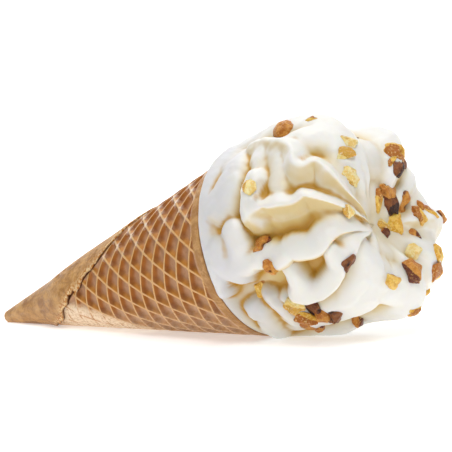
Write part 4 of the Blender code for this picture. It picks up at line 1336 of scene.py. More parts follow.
FOLDS = (
    # the collar: a band along the rim, its upper lobe, the tongue and the lower tip
    Fold(((78, 0.96, 4.4), (40, 0.96, 4.6), (0, 0.97, 4.6), (-12, 0.975, 4.4)), 5.5, 6.0, 0.3, 0.3),
    Fold(((66, 0.88, 4.6), (52, 0.835, 5.6), (42, 0.82, 6.4), (32, 0.84, 6.8), (24, 0.865, 6.8)),
         5.6, 5.8, 0.35, 0.35),
    Fold(((-10, 0.83, 6.4), (-2, 0.815, 7.2), (7, 0.815, 7.6)), 4.4, 4.4, 0.4, 0.4, 0.6),
    Fold(((2, 0.90, 6.0), (-9, 0.89, 6.6), (-15, 0.86, 6.4)), 4.4, 4.4, 0.4, 0.4),
    Fold(((-8, 0.945, 5.2), (-17, 0.955, 5.6), (-24, 0.97, 5.8)), 2.6, 2.3, 0.35, 0.35, -0.5),
    Fold(((-6, 0.85, 6.2), (-12.5, 0.84, 6.6), (-13, 0.80, 6.8), (-11, 0.75, 6.6), (-11, 0.71, 6.8)),
         3.6, 3.0, 0.4, 0.35, 1.2),
    # crescents under the collar
    Fold(((-44, 0.90, 4.0), (-56, 0.895, 4.4), (-70, 0.93, 4.6), (-84, 0.95, 4.2)), 3.4, 4.0, 0.6, 0.6),
    Fold(((-38, 0.80, 4.8), (-50, 0.79, 5.4), (-66, 0.82, 5.4), (-80, 0.86, 4.8)), 2.6, 4.4, 0.6, 0.9, -0.6),
    Fold(((-42, 0.72, 5.4), (-52, 0.715, 6.0), (-66, 0.73, 5.8), (-76, 0.77, 5.2)),
         2.4, 4.4, 0.6, 0.9, -0.6),
    # the upper ribbon, the two panels that hang from it and the soft fold above it
    Fold(((64, 0.76, 5.6), (60, 0.68, 7.0), (55, 0.58, 7.7), (50.5, 0.515, 8.0), (45, 0.485, 7.9),
          (39, 0.475, 7.7), (36.5, 0.455, 7.6), (39.5, 0.43, 7.8), (41, 0.40, 8.0), (38, 0.36, 8.0),
          (32, 0.315, 7.7), (23.5, 0.235, 6.6), (14, 0.04, 5.6)), 9.0, 12.0, 1.4, 1.35, 1.2),
    Fold(((50, 0.585, 6.0), (40, 0.565, 5.7), (22, 0.565, 4.8)), 6.0, 6.0, 0.9, 0.9),
    Fold(((56, 0.68, 6.0), (46, 0.67, 5.7), (36, 0.66, 5.0)), 6.0, 6.6, 0.8, 0.9),
    Fold(((60, 0.54, 5.8), (66, 0.49, 6.4), (70, 0.44, 6.8), (71, 0.38, 6.8), (66, 0.30, 6.2),
          (58, 0.18, 5.4)), 8.0, 10.5, 0.8, 0.9),
    # the middle fold and the bulb that it ends in
    Fold(((12, 0.70, 7.4), (15, 0.67, 7.7), (16.5, 0.625, 7.7), (16.5, 0.57, 7.6), (16, 0.49, 7.6),
          (18.5, 0.445, 8.4), (17, 0.395, 8.1), (13.5, 0.32, 7.5), (9.5, 0.22, 6.4), (5, 0.04, 5.6)),
         3.4, 8.0, 0.9, 1.5, 2.0),
    Fold(((17, 0.69, 7.6), (25, 0.68, 8.0), (31, 0.665, 7.8)), 4.6, 4.0, 0.4, 0.4),
    # the lower middle fold, with its torn edge
    Fold(((-10, 0.675, 6.6), (-11, 0.61, 7.0), (-9.0, 0.56, 6.6), (-10.5, 0.50, 7.0), (-10.5, 0.455, 7.0),
          (-4.5, 0.40, 6.6), (-2, 0.33, 6.2), (-3, 0.20, 5.8), (-6, 0.04, 5.6)),
         3.8, 3.6, 0.6, 0.45, 3.0),
    # the fold below: its left face, its right face and the lip that joins them
    Fold(((-21, 0.615, 5.6), (-32, 0.615, 6.6)), 3.6, 3.6, 0.5, 0.5, 0.0),
    Fold(((-17, 0.405, 5.8), (-27, 0.41, 6.6)), 3.2, 3.4, 0.5, 0.5, 0.0),
    Fold(((-35, 0.665, 6.0), (-37, 0.60, 6.7), (-36.5, 0.53, 6.8), (-32, 0.46, 6.8), (-24, 0.38, 6.8),
          (-13.5, 0.29, 6.2), (-9, 0.20, 5.8), (-10, 0.04, 5.6)), 2.9, 2.4, 1.0, 0.4, 2.6),
    # small lobes under it, and the smooth mass to the right
    Fold(((-56, 0.60, 4.8), (-51, 0.46, 5.6), (-46, 0.37, 5.2)), 3.4, 3.4, 0.7, 0.7, 0.8),
    Fold(((-74, 0.80, 5.2), (-60, 0.50, 5.0), (-42, 0.28, 4.6), (-35, 0.04, 4.8)), 10.0, 10.0, 1.0, 0.8),
    Fold(((160, 0.26, 4.6), (-165, 0.30, 5.0), (-125, 0.32, 5.0), (-85, 0.32, 4.8), (-60, 0.26, 4.4)),
         10.0, 11.0, 0.6, 0.8),
    Fold(((150, 0.06, 4.6), (-150, 0.08, 4.6), (-70, 0.08, 4.4)), 8.0, 8.0, 0.5, 0.5),
    # over the top and round the far side
    Fold(((80, 1.06, 4.2), (80, 0.76, 4.2)), 8.0, 8.0, 0.75, 0.75),
    Fold(((93, 0.86, 7.0), (88, 0.5, 7.0), (76, 0.20, 5.6), (60, 0.04, 4.0)), 9.5, 12.0, 1.2, 1.0),
    Fold(((128, 1.06, 4.4), (128, 0.84, 4.4)), 13.0, 13.0, 0.5, 0.5),
    Fold(((138, 0.84, 9.4), (133, 0.48, 9.2), (128, 0.22, 7.0), (128, 0.04, 4.0)), 12.5, 12.0, 1.2, 1.2),
    Fold(((162, 0.84, 6.0), (156, 0.30, 5.0), (156, 0.04, 4.0)), 9.5, 9.5, 1.0, 1.0),
    Fold(((-176, 1.06, 4.8), (-176, 0.84, 4.8)), 13.0, 13.0, 0.5, 0.5),
    Fold(((-168, 0.84, 9.2), (-168, 0.48, 8.8), (-168, 0.22, 6.0), (-168, 0.04, 4.0)),
         11.5, 10.5, 1.2, 1.2),
    Fold(((-138, 0.84, 8.0), (-136, 0.48, 7.8), (-134, 0.22, 6.0), (-134, 0.04, 4.0)),
         11.0, 11.0, 1.0, 1.0),
    Fold(((-106, 1.06, 9.3), (-106, 0.80, 9.3)), 10.8, 10.8, 0.5, 0.5),
    Fold(((-115, 0.86, 7.6), (-104, 0.50, 7.4), (-96, 0.22, 5.8), (-90, 0.04, 4.0)), 10.5, 12.0, 1.2, 1.1),
)


@dataclass
class Cream:
    """The piped head of ice cream, and the filling that reaches down into the wafer."""

    cone: ConeFrame
    plug_end: float = 22.0 * MM
    radius: float = 29.8 * MM
    shoulder: float = 146.0 * MM     # height along the axis where the sides turn into the front
    front: float = 168.9 * MM
    squareness: float = 2.87
    radius_up: float = 0.8 * MM      # how much wider the head is on top
    radius_near: float = -0.9 * MM   # and on the near side
    shoulder_up: float = -10.0 * MM  # how much further its shoulder lies on top
    shoulder_near: float = -4.0 * MM  # and on the near side
    front_tilt: float = 0.09         # slope by which the front leans back on top
    side_bow: float = 1.3            # above 1 the sides bulge near the shoulder
    heart_depth: float = 6.0 * MM
    heart_width: float = 11.0 * MM
    heart_up: float = -3.2 * MM
    heart_away: float = -1.5 * MM
    heart_calm: float = 14.0 * MM    # radius inside which the folds lean less
    valley: float = 5.6 * MM         # depth of the floor from which the ridges rise
    heart_rise: float = 4.8 * MM     # what the folds level out to at the heart
    rim_lift: float = -0.4 * MM
    tear: float = 0.75 * MM          # how far the folds' ragged ends stray, and the size of the rags
    tear_size: float = 3.4 * MM
    waves: float = 0.34 * MM         # unevenness of the surface, and the size of its swells
    wave_size: float = 5.0 * MM
    ripples: float = 0.11 * MM
    ripple_size: float = 1.7 * MM
    turns: int = 440
    rings: int = 190
    fold_blend: int = 10             # higher makes the creases between folds crisper
    degree: float = 0.45 * MM        # what one degree measures across the head
    length: float = 62.0 * MM        # what the whole way measures along it
    path_steps: int = 8              # straight pieces between two knots of a fold
    soft_passes: int = 2             # averaging that softens the finished surface
    broad_passes: int = 260          # averaging that brings out the wide hollows
    middle_passes: int = 70          # averaging that brings out the faces between the folds
    fine_passes: int = 16            # averaging that brings out the crevices

    SHOULDER_TURN = 90.0             # the envelope's turn at the shoulder
    RIM_TURN = 150.0                 # and at the rim
    ENVELOPE_STEPS = 500             # places at which the envelope's length is measured
    SPOT_STEP = 0.006                # of a turn and of the way, from a spot to its neighbours
    TINY = 1e-9                      # keeps divisions clear of zero
    CLOSE = 0.001 * MM
    # ways from where a share starts to where it is full
    VALLEY_WAYS = (1.06, 0.84)
    EDGE_WAYS = (1.0, 0.955)
    LEAN_WAYS = (1.0, 0.9)
    HEART_WAYS = (0.20, 0.03)
    TORN_WAYS = (0.50, 0.64)
    WHOLE_WAYS = (1.0, 0.94)         # the rim's edge isn't torn

    def envelope(self, angle: float, turn: np.ndarray) -> tuple[np.ndarray, np.ndarray]:
        """Give the head's height and radius without its folds.

        Args:
            angle: angle round the axis, in degrees.
            turn: 0 at the front's middle, SHOULDER_TURN at the shoulder and RIM_TURN at the rim.

        Returns:
            Heights along the axis and radii.
        """
        up = math.sin(math.radians(angle))
        near = math.cos(math.radians(angle))
        radius = self.radius + self.radius_up * up + self.radius_near * near
        shoulder = self.shoulder + self.shoulder_up * up + self.shoulder_near * near
        bow = np.radians(np.clip(turn, 0.0, self.SHOULDER_TURN))
        power = self.squareness
        reach = ((np.sin(bow) / radius) ** power
                 + (np.cos(bow) / (self.front - shoulder)) ** power) ** (-1.0 / power)
        out = reach * np.sin(bow)
        high = shoulder + reach * np.cos(bow) - self.front_tilt * up * out * np.cos(bow)
        high = high - self.heart_depth * np.exp(-(out / self.heart_width) ** 2)
        half = self.cone.half_angle
        rim_slant = self.cone.slant + self.cone.gap
        rim_height = rim_slant * math.cos(half) - self.rim_lift * math.sin(half)
        rim_radius = rim_slant * math.sin(half) + self.rim_lift * math.cos(half)
        side = np.clip((turn - self.SHOULDER_TURN) / (self.RIM_TURN - self.SHOULDER_TURN), 0.0, 1.0)
        on_side = turn > self.SHOULDER_TURN
        high = np.where(on_side, shoulder + (rim_height - shoulder) * side, high)
        out = np.where(on_side, radius + (rim_radius - radius) * side ** self.side_bow, out)
        return high, out

    def even_envelope(self, angles: np.ndarray, ways: np.ndarray) -> tuple[np.ndarray, np.ndarray]:
        """Give the envelope on a grid, with its rings evenly spaced from the heart to the rim.

        Args:
            angles: angles in degrees, one a row.
            ways: ways, one a column.

        Returns:
            Heights along the axis and radii.
        """
        turns = np.linspace(0.0, self.RIM_TURN, self.ENVELOPE_STEPS)
        high = np.empty((len(angles), len(ways)))
        out = np.empty_like(high)
        for row, angle in enumerate(angles):
            heights, radii = self.envelope(angle, turns)
            lengths = np.concatenate(([0.0], np.cumsum(np.hypot(np.diff(heights), np.diff(radii)))))
            lengths = lengths / lengths[-1]
            high[row] = np.interp(ways, lengths, heights)
            out[row] = np.interp(ways, lengths, radii)
        return high, out

    def crest_line(self, fold: Fold) -> np.ndarray:
        """Give the smooth line through a fold's knots.

        Args:
            fold: the fold.

        Returns:
            Points on it: across and along the head, and height.
        """
        knots = np.array(fold.path, float) * (self.degree, self.length, MM)
        if len(knots) < 3:
            return knots
        ahead = np.vstack((2.0 * knots[0] - knots[1], knots, 2.0 * knots[-1] - knots[-2]))
        parts = np.linspace(0.0, 1.0, self.path_steps, endpoint=False)[:, None]
        line = []
        for before, start, end, after in zip(ahead[:-3], ahead[1:-2], ahead[2:-1], ahead[3:]):
            line.append(start + 0.5 * parts * (end - before + parts * (
                2.0 * before - 5.0 * start + 4.0 * end - after
                + parts * (3.0 * (start - end) + after - before))))
        return np.vstack((*line, knots[-1:]))

    def fold_share(self, fold: Fold, angle: np.ndarray, way: np.ndarray) -> tuple[np.ndarray, ...]:
        """Give one fold's height over the places of the head.

        Args:
            fold: the fold.
            angle: angles in degrees.
            way: ways.

        Returns:
            Its height, its share of its crest's height, and the two parts of its crest's direction.
        """
        line = self.crest_line(fold)
        middle = np.mean([knot[0] for knot in fold.path])
        across = (middle + wrapped(angle - middle)) * self.degree
        along = way * self.length
        nearest = np.full(angle.shape, np.inf)
        side = np.zeros_like(nearest)
        height = np.zeros_like(nearest)
        run_across = np.zeros_like(nearest)
        run_along = np.zeros_like(nearest)
        for start, end in zip(line[:-1], line[1:]):
            run = end - start
            length = math.hypot(run[0], run[1])
            part = ((across - start[0]) * run[0] + (along - start[1]) * run[1]) / length ** 2
            part = np.clip(part, 0.0, 1.0)
            off_across = across - start[0] - part * run[0]
            off_along = along - start[1] - part * run[1]
            distance = np.hypot(off_across, off_along)
            nearer = distance < nearest
            nearest = np.where(nearer, distance, nearest)
            turned = (run[0] * off_along - run[1] * off_across) / (length * (distance + self.TINY))
            side = np.where(nearer, turned, side)
            height = np.where(nearer, start[2] + part * run[2], height)
            run_across = np.where(nearer, run[0] / length, run_across)
            run_along = np.where(nearer, run[1] / length, run_along)
        hand = smooth(-1.0, 1.0, side)
        reach = (fold.lower + (fold.upper - fold.lower) * hand) * MM
        curve = fold.lower_curve + (fold.upper_curve - fold.lower_curve) * hand
        roundness = np.clip(2.0 - 2.5 * (curve - 1.0), 1.1, 2.0)
        share = np.clip(1.0 - (nearest / reach) ** roundness, 0.0, 1.0) ** curve
        return height * share, share, run_across, run_along

    def folds(self, angle: np.ndarray, way: np.ndarray) -> tuple[np.ndarray, ...]:
        """Give how the folds move the head's surface.

        Args:
            angle: angles in degrees.
            way: ways.

        Returns:
            The rise above the valleys, and the lean across and along the head.
        """
        total = np.zeros_like(angle)
        lean_across = np.zeros_like(angle)
        lean_along = np.zeros_like(angle)
        for fold in FOLDS:
            height, share, run_across, run_along = self.fold_share(fold, angle, way)
            weight = (height / MM) ** self.fold_blend
            total = total + weight
            lean = weight * fold.lean * MM * share ** 3
            lean_across = lean_across + lean * run_along
            lean_along = lean_along - lean * run_across
        rise = total ** (1.0 / self.fold_blend) * MM
        rise = rise + (self.heart_rise - rise) * smooth(*self.HEART_WAYS, way)
        return rise, lean_across / (total + self.TINY), lean_along / (total + self.TINY)

    def torn(self, angle: np.ndarray, way: np.ndarray) -> tuple[np.ndarray, np.ndarray]:
        """Shift places of the head a little, so that the folds' outer ends come out ragged.

        Args:
            angle: angles in degrees.
            way: ways.

        Returns:
            The shifted angles and ways.
        """
        across_and_along = ((angle * self.degree).ravel(), (way * self.length).ravel())
        flat = np.column_stack((*across_and_along, np.zeros(angle.size)))
        shifts = [self.tear * rough(flat, self.tear_size, seed)
                  + 0.5 * self.tear * rough(flat, 0.4 * self.tear_size, seed + 0.5)
                  for seed in (21.0, 22.0)]
        share = smooth(*self.TORN_WAYS, way) * smooth(*self.WHOLE_WAYS, way)
        across, along = (share * shift.reshape(angle.shape) for shift in shifts)
        return angle + across / self.degree, way + along / self.length

    def surface(self, angles: np.ndarray, ways: np.ndarray) -> np.ndarray:
        """Give the points of the piped head on a grid.

        Args:
            angles: angles in degrees, one a row.
            ways: ways, one a column.

        Returns:
            The grid of points.
        """
        high, out = self.even_envelope(angles, ways)
        angle, way = np.meshgrid(angles, ways, indexing="ij")
        rise, lean_across, lean_along = self.folds(*self.torn(angle, way))
        slope_high = np.gradient(high, axis=1)
        slope_out = np.gradient(out, axis=1)
        length = np.hypot(slope_high, slope_out)
        offset = (rise - self.valley * smooth(*self.VALLEY_WAYS, way)) * smooth(*self.EDGE_WAYS, way)
        calm = np.minimum(1.0, out / self.heart_calm) * smooth(*self.LEAN_WAYS, way)
        high = high + (offset * slope_out + lean_along * calm * slope_high) / length
        out = np.maximum(out + (lean_along * calm * slope_out - offset * slope_high) / length, 0.0)
        radians = np.radians(angle)
        sideways = self.cone.outward(radians + math.pi / 2.0)
        points = self.cone.along_and_out(high, out, radians) + (lean_across * calm)[..., None] * sideways
        heart = 1.0 - smooth(0.0, self.radius, out)
        return points + heart[..., None] * (self.heart_up * self.cone.upward
                                            + self.heart_away * self.cone.away)

    def spot(self, angle: float, way: float) -> tuple[Vector, Vector]:
        """Give the place and the outward direction at one spot of the head.

        Args:
            angle: angle round the axis, in degrees.
            way: 0 at the heart and 1 at the rim.

        Returns:
            The place and the unit direction.
        """
        turn = 360.0 * self.SPOT_STEP
        angles = np.array([angle - turn, angle, angle + turn])
        ways = np.clip(np.array([way - self.SPOT_STEP, way, way + self.SPOT_STEP]), 0.0, 1.0)
        points = self.surface(angles, ways)
        across = Vector(points[2, 1] - points[0, 1])
        inward = Vector(points[1, 0] - points[1, 2])
        return Vector(points[1, 1]), across.cross(inward).normalized()

    def averaged(self, points: np.ndarray, passes: int) -> np.ndarray:
        """Move each point of the grid to the middle of its neighbours.

        Args:
            points: the grid of the head's points.
            passes: how many times.

        Returns:
            The smoothed grid.
        """
        points = points.copy()
        for _ in range(passes):
            points[:, 1:-1] = 0.25 * (np.roll(points, 1, axis=0)[:, 1:-1]
                                      + np.roll(points, -1, axis=0)[:, 1:-1]
                                      + points[:, :-2] + points[:, 2:])
        return points

    def outward(self, points: np.ndarray) -> np.ndarray:
        """Give the outward unit direction at each point of the grid.

        Args:
            points: the grid of the head's points.

        Returns:
            One direction a point.
        """
        across = np.roll(points, -1, axis=0) - np.roll(points, 1, axis=0)
        along = np.gradient(points, axis=1)
        normal = np.cross(along, across)
        normal = normal / np.maximum(np.linalg.norm(normal, axis=2, keepdims=True), self.TINY ** 2)
        return normal * np.sign((normal * (points - points.mean(axis=(0, 1)))).sum(axis=2).mean())

    def uneven(self, points: np.ndarray, ways: np.ndarray) -> np.ndarray:
        """Add small swells and ripples, which fade toward the rim and the floor.

        Args:
            points: the grid of the head's points.
            ways: the way of each column.

        Returns:
            The uneven grid.
        """
        flat = points.reshape(-1, 3)
        swell = self.waves * rough(flat, self.wave_size, 7.0)
        swell = swell + self.ripples * rough(flat, self.ripple_size, 8.0)
        swell = swell.reshape(points.shape[:2]) * smooth(0.99, 0.94, ways) * smooth(0.0, 0.05, ways)
        swell = swell * smooth(0.2 * MM, 2.5 * MM, points[..., 2])
        return points + swell[..., None] * self.outward(points)

    def depth_below(self, points: np.ndarray, passes: int) -> np.ndarray:
        """Give how deep each point of the grid lies under its smoothed surroundings.

        Args:
            points: the grid of the head's points.
            passes: how often the surroundings are averaged.

        Returns:
            Depths in metres, negative on the folds.
        """
        broad = self.averaged(points, passes)
        return ((broad - points) * self.outward(broad)).sum(axis=2)

    def turned_down(self, points: np.ndarray) -> np.ndarray:
        """Give how much more each point of the grid faces down than its smoothed surroundings.

        Args:
            points: the grid of the head's points.

        Returns:
            Differences of slope, positive under a fold.
        """
        broad = self.averaged(points, self.broad_passes)
        near = self.averaged(points, 2)
        return self.outward(broad)[..., 2] - self.outward(near)[..., 2]

    def marks(self, points: np.ndarray) -> dict[str, np.ndarray]:
        """Give the numbers that the finish reads.

        Args:
            points: the grid of the head's points.

        Returns:
            How hollow each point lies and how far it looks down, which place the painted shade.
        """
        middle = self.depth_below(points, self.middle_passes)
        # painted shade in the crevices
        crevice = smooth(0.07 * MM, 0.45 * MM, self.depth_below(points, self.fine_passes))
        # where the painted shade goes: wide hollows, faces between the folds, crevices and what faces down
        return {
            "hollow": smooth(-0.9 * MM, 1.5 * MM, self.depth_below(points, self.broad_passes)),
            "dip": smooth(-0.10 * MM, 0.80 * MM, middle),
            "crevice": np.maximum(crevice, 0.85 * smooth(0.45 * MM, 1.50 * MM, middle)),
            "underside_shade": smooth(0.10, 0.75, self.turned_down(points)),
        }

    def head(self) -> Workpiece:
        """Model the piped head as an open shell.

        Returns:
            The shell, closed at the heart and open at the rim.
        """
        piece = Workpiece.sheet("cream", self.turns + 1, self.rings)
        steps = piece.points + 0.5
        column = np.rint(steps[:, 0] * self.turns).astype(int) % self.turns
        row = np.rint(steps[:, 1] * (self.rings - 1)).astype(int)
        angles = np.linspace(-180.0, 180.0, self.turns, endpoint=False)
        ways = np.linspace(0.0, 1.0, self.rings)
        points = self.surface(angles, ways)
        points[:, 0] = points[:, 0].mean(axis=0)
        points = self.averaged(points, self.soft_passes)
        points = self.uneven(points, ways)
        piece.points = points[column, row]
        for name, values in self.marks(points).items():
            piece.keep(name, values[column, row])
        aside = np.abs(wrapped(angles[column] - 15.0))
        piece.keep("collar", smooth(0.72, 0.86, ways[row]) * (1.0 - smooth(55.0, 80.0, aside)))
        piece.merge(self.CLOSE)
        return piece

    def fill(self, piece: Workpiece) -> None:
        """Close the head underneath, with the filling that reaches down into the wafer.

        Args:
            piece: the open head.
        """
        lift = -self.cone.wall - self.cone.gap
        for slant in (self.cone.slant + self.cone.gap, 0.5 * self.cone.slant, self.plug_end):
            first = piece.grow(piece.border)
            points = piece.points
            angle = self.cone.angle_of(points[first:])
            points[first:] = self.cone.on_cone(np.full(len(angle), slant), angle, lift)
            piece.points = points
        piece.cap(piece.border)

    def build(self) -> Workpiece:
        """Model the ice cream.

        Returns:
            The finished piece.
        """
        piece = self.head()
        self.fill(piece)
        piece.points = self.cone.rest(piece.points)
        piece.finish(180.0)
        piece.dress(CreamFinish().make())
        return piece


# ---------------------------------------------------------------- the nuts
class Nut(NamedTuple):
    """One chopped nut; angle in degrees, sizes in millimetres, turn in degrees."""

    angle: float
    way: float
    length: float
    width: float
    turn: float
    kind: NutKind


PALE = NutKind.PALE
GOLD = NutKind.GOLD
BROWN = NutKind.BROWN
DARK = NutKind.DARK

SHOWN_NUTS = (
    # over the top
    Nut(75, 0.652, 5.6, 4.6, 60, BROWN),
    Nut(81, 0.532, 2.8, 2.0, 0, GOLD),
    Nut(72, 0.324, 4.9, 3.6, 0, PALE),
    Nut(60, 0.308, 4.9, 3.2, 10, PALE),
    Nut(46, 0.244, 5.0, 4.5, 20, PALE),
    Nut(12, 0.268, 3.4, 2.8, 70, PALE),
    Nut(26, 0.66, 3.4, 3.0, 80, PALE),
    # the far lobe
    Nut(124, 0.284, 5.4, 4.4, 20, GOLD),
    Nut(127, 0.220, 5.0, 2.6, 130, DARK),
    Nut(121, 0.244, 3.8, 1.8, 120, GOLD),
    # the cluster at the heart
    Nut(133, 0.132, 6.6, 4.4, 20, BROWN),
    Nut(152, 0.116, 5.4, 4.2, 75, DARK),
    Nut(170, 0.172, 6.0, 4.2, 110, BROWN),
    Nut(111, 0.084, 5.6, 3.4, 80, GOLD),
    Nut(-163, 0.036, 4.0, 3.6, 30, PALE),
    Nut(-124, 0.052, 3.0, 2.6, 30, BROWN),
    Nut(-167, 0.092, 5.8, 4.0, 90, GOLD),
    # the front, right of the heart
    Nut(-174, 0.212, 5.6, 3.4, 80, GOLD),
    Nut(179, 0.252, 2.8, 2.0, 60, BROWN),
    Nut(-175, 0.284, 4.8, 2.2, 60, GOLD),
    Nut(-151, 0.180, 6.0, 3.0, 75, BROWN),
    Nut(-121, 0.188, 4.4, 4.0, 20, PALE),
    Nut(-95, 0.244, 6.0, 4.8, 50, BROWN),
    Nut(-68, 0.300, 5.0, 3.8, 10, GOLD),
    Nut(-137, 0.316, 5.2, 3.6, 60, GOLD),
    Nut(-126, 0.356, 5.8, 3.6, 70, GOLD),
    Nut(-100, 0.436, 4.2, 3.2, 0, GOLD),
    # under the lower fold
    Nut(-28.5, 0.385, 4.4, 3.0, 80, DARK),
    Nut(-44, 0.700, 5.4, 4.4, 20, PALE),
    Nut(-54, 0.670, 5.6, 5.2, 30, DARK),
    Nut(-60, 0.660, 5.0, 4.4, 40, BROWN),
    Nut(-57, 0.712, 5.6, 3.8, 15, GOLD),
    Nut(-63, 0.612, 5.6, 5.2, 70, DARK),
    Nut(-70, 0.780, 4.0, 3.0, 30, BROWN),
    Nut(-77, 0.764, 3.6, 2.8, 60, BROWN),
    Nut(-96, 0.668, 4.2, 4.0, 60, BROWN),
    # the collar
    Nut(-32, 0.850, 5.8, 4.8, 60, GOLD),
    Nut(-3, 0.705, 5.4, 4.4, 80, BROWN),
    Nut(-13, 0.672, 4.4, 4.0, 40, BROWN),
)


@dataclass
class Nuts:
    """The chopped nuts: one piece for each kind."""

    cone: ConeFrame
    cream: Cream
    sink: float = 0.30               # share of a nut's width that is pressed in
    hidden: int = 26
    hidden_length: tuple[float, float] = (3.0, 5.0)
    hidden_ways: tuple[float, float] = (0.30, 0.86)
    shown_side: tuple[float, float] = (-120.0, 96.0)     # angles that the placed nuts cover
    golden_turn: float = 137.508     # degrees from one nut of the spiral to the next
    drift: float = 8.0               # degrees
    height: float = 0.8              # share of a nut's width
    facets: int = 9
    facet_out: tuple[float, float] = (0.27, 0.42)        # how far from the middle one lies
    facet_cut: float = 0.92          # share of what lies beyond it that goes
    dents: int = 3
    dent_out: float = 0.46
    dent_reach: tuple[float, float] = (0.16, 0.30)
    dent_depth: float = 0.55
    fullness: float = 1.40           # makes up for what the facets cut off
    coarse: float = 0.24             # unevenness, and the size of its features
    coarse_size: float = 0.34
    fine_size: float = 0.12
    seed: int = 11

    # fine unevenness of each kind
    GRAIN = {NutKind.PALE: 0.10, NutKind.GOLD: 0.085, NutKind.BROWN: 0.07, NutKind.DARK: 0.06}

    @staticmethod
    def facing(draw: random.Random) -> np.ndarray:
        """Give a unit direction at random."""
        way = np.array([draw.gauss(0.0, 1.0) for _ in range(3)])
        return way / np.linalg.norm(way)

    def hidden_nuts(self, draw: random.Random) -> list[Nut]:
        """Place nuts over the parts of the head that the shown ones leave bare.

        Args:
            draw: the source of their sizes and kinds.

        Returns:
            The nuts, along an even spiral.
        """
        placed = []
        first_way, last_way = self.hidden_ways
        for number in range(self.hidden):
            angle = wrapped(number * self.golden_turn + draw.uniform(-self.drift, self.drift))
            way = first_way + (last_way - first_way) * (number + draw.random()) / self.hidden
            if self.shown_side[0] < angle < self.shown_side[1]:
                continue
            length = draw.uniform(*self.hidden_length)
            kind = draw.choice((BROWN, GOLD, PALE, GOLD, DARK))
            turn = draw.uniform(0.0, 180.0)
            placed.append(Nut(angle, way, length, self.height * length, turn, kind))
        return placed

    def broken(self, points: np.ndarray, grain: float, draw: random.Random) -> tuple[np.ndarray, ...]:
        """Break a ball of about one across into a lump.

        Args:
            points: the ball's points.
            grain: its fine unevenness.
            draw: the source of its facets and dents.

        Returns:
            The lump's points, the share of skin on them and how far each lies in a dent.
        """
        for _ in range(self.facets):
            facing = self.facing(draw)
            beyond = points @ facing - draw.uniform(*self.facet_out)
            points = points - np.outer(np.maximum(beyond, 0.0) * self.facet_cut, facing)
        dent = np.zeros(len(points))
        for _ in range(self.dents):
            centre = self.facing(draw) * self.dent_out
            reach = draw.uniform(*self.dent_reach)
            near = np.maximum(0.0, 1.0 - np.linalg.norm(points - centre, axis=1) / reach)
            points = points * (1.0 - self.dent_depth * near * reach / self.dent_reach[1])[:, None]
            dent = np.maximum(dent, near)
        seed = draw.uniform(0.0, 50.0)
        coarse = rough(points, self.coarse_size, seed)
        fine = rough(points, self.fine_size, seed + 1.0)
        points = points * (self.fullness + self.coarse * coarse + grain * fine)[:, None]
        skin = smooth(0.14, 0.32, points @ self.facing(draw) + 0.08 * coarse)
        return points, skin, smooth(0.15, 0.8, dent)

    def lump(self, nut: Nut, draw: random.Random) -> Workpiece:
        """Model one chopped nut in its place.

        Args:
            nut: its place, size and kind.
            draw: the source of its unevenness.

        Returns:
            The piece, with its skin and its dents stored on it.
        """
        place, normal = self.cream.spot(nut.angle, nut.way)
        deselect_all()
        bpy.ops.mesh.primitive_ico_sphere_add(subdivisions=5, radius=0.5)
        piece = Workpiece(bpy.context.object, "lump")
        points, skin, dent = self.broken(piece.points, self.GRAIN[nut.kind], draw)
        size = Vector((nut.length, nut.width, self.height * nut.width)) * MM
        turn = Matrix.Rotation(math.radians(nut.turn), 4, "Z")
        upright = normal.to_track_quat("Z", "Y").to_matrix().to_4x4()
        lifted = place + normal * size.z * (0.5 - self.sink)
        whole = Matrix.Translation(lifted) @ upright @ turn @ Matrix.Diagonal((*size, 1.0))
        turned = points @ np.array(whole.to_3x3()).T + np.array(whole.translation)
        piece.points = self.cone.rest(turned)
        piece.keep("skin", skin)
        piece.keep("dent", dent)
        return piece

    def build(self) -> dict[NutKind, Workpiece]:
        """Model all the nuts.

        Returns:
            One joined piece for each kind.
        """
        draw = random.Random(self.seed)
        nuts = list(SHOWN_NUTS) + self.hidden_nuts(draw)
        lumps: dict[NutKind, list[Workpiece]] = {kind: [] for kind in NutKind}
        for nut in nuts:
            lumps[nut.kind].append(self.lump(nut, draw))
        joined = {}
        for kind, colours in NUT_COLOURS.items():
            deselect_all()
            for piece in lumps[kind]:
                piece.obj.select_set(True)
            bpy.context.view_layer.objects.active = lumps[kind][0].obj
            bpy.ops.object.join()
            piece = Workpiece(bpy.context.object, f"nuts_{kind.value}")
            piece.obj.matrix_world = Matrix.Identity(4)
            piece.finish(180.0)
            piece.dress(NutFinish(kind, *colours).make())
            joined[kind] = piece
        return joined


# ---------------------------------------------------------------- the studio
@dataclass(frozen=True)
class SoftLight:
    """One square soft light, aimed at the cone or at another place."""

    name: str
    place: tuple[float, float, float]
    power: float
    width: float
    target: tuple[float, float, float] = (0.04, 0.0, 0.03)

    def build(self) -> None:
        """Add the light."""
        data = bpy.data.lights.new(self.name, "AREA")
        data.energy = self.power
        data.size = self.width
        obj = bpy.data.objects.new(self.name, data)
        bpy.context.scene.collection.objects.link(obj)
        obj.location = self.place
        looking = Vector(self.target) - Vector(self.place)
        obj.rotation_euler = looking.to_track_quat("-Z", "Y").to_euler()


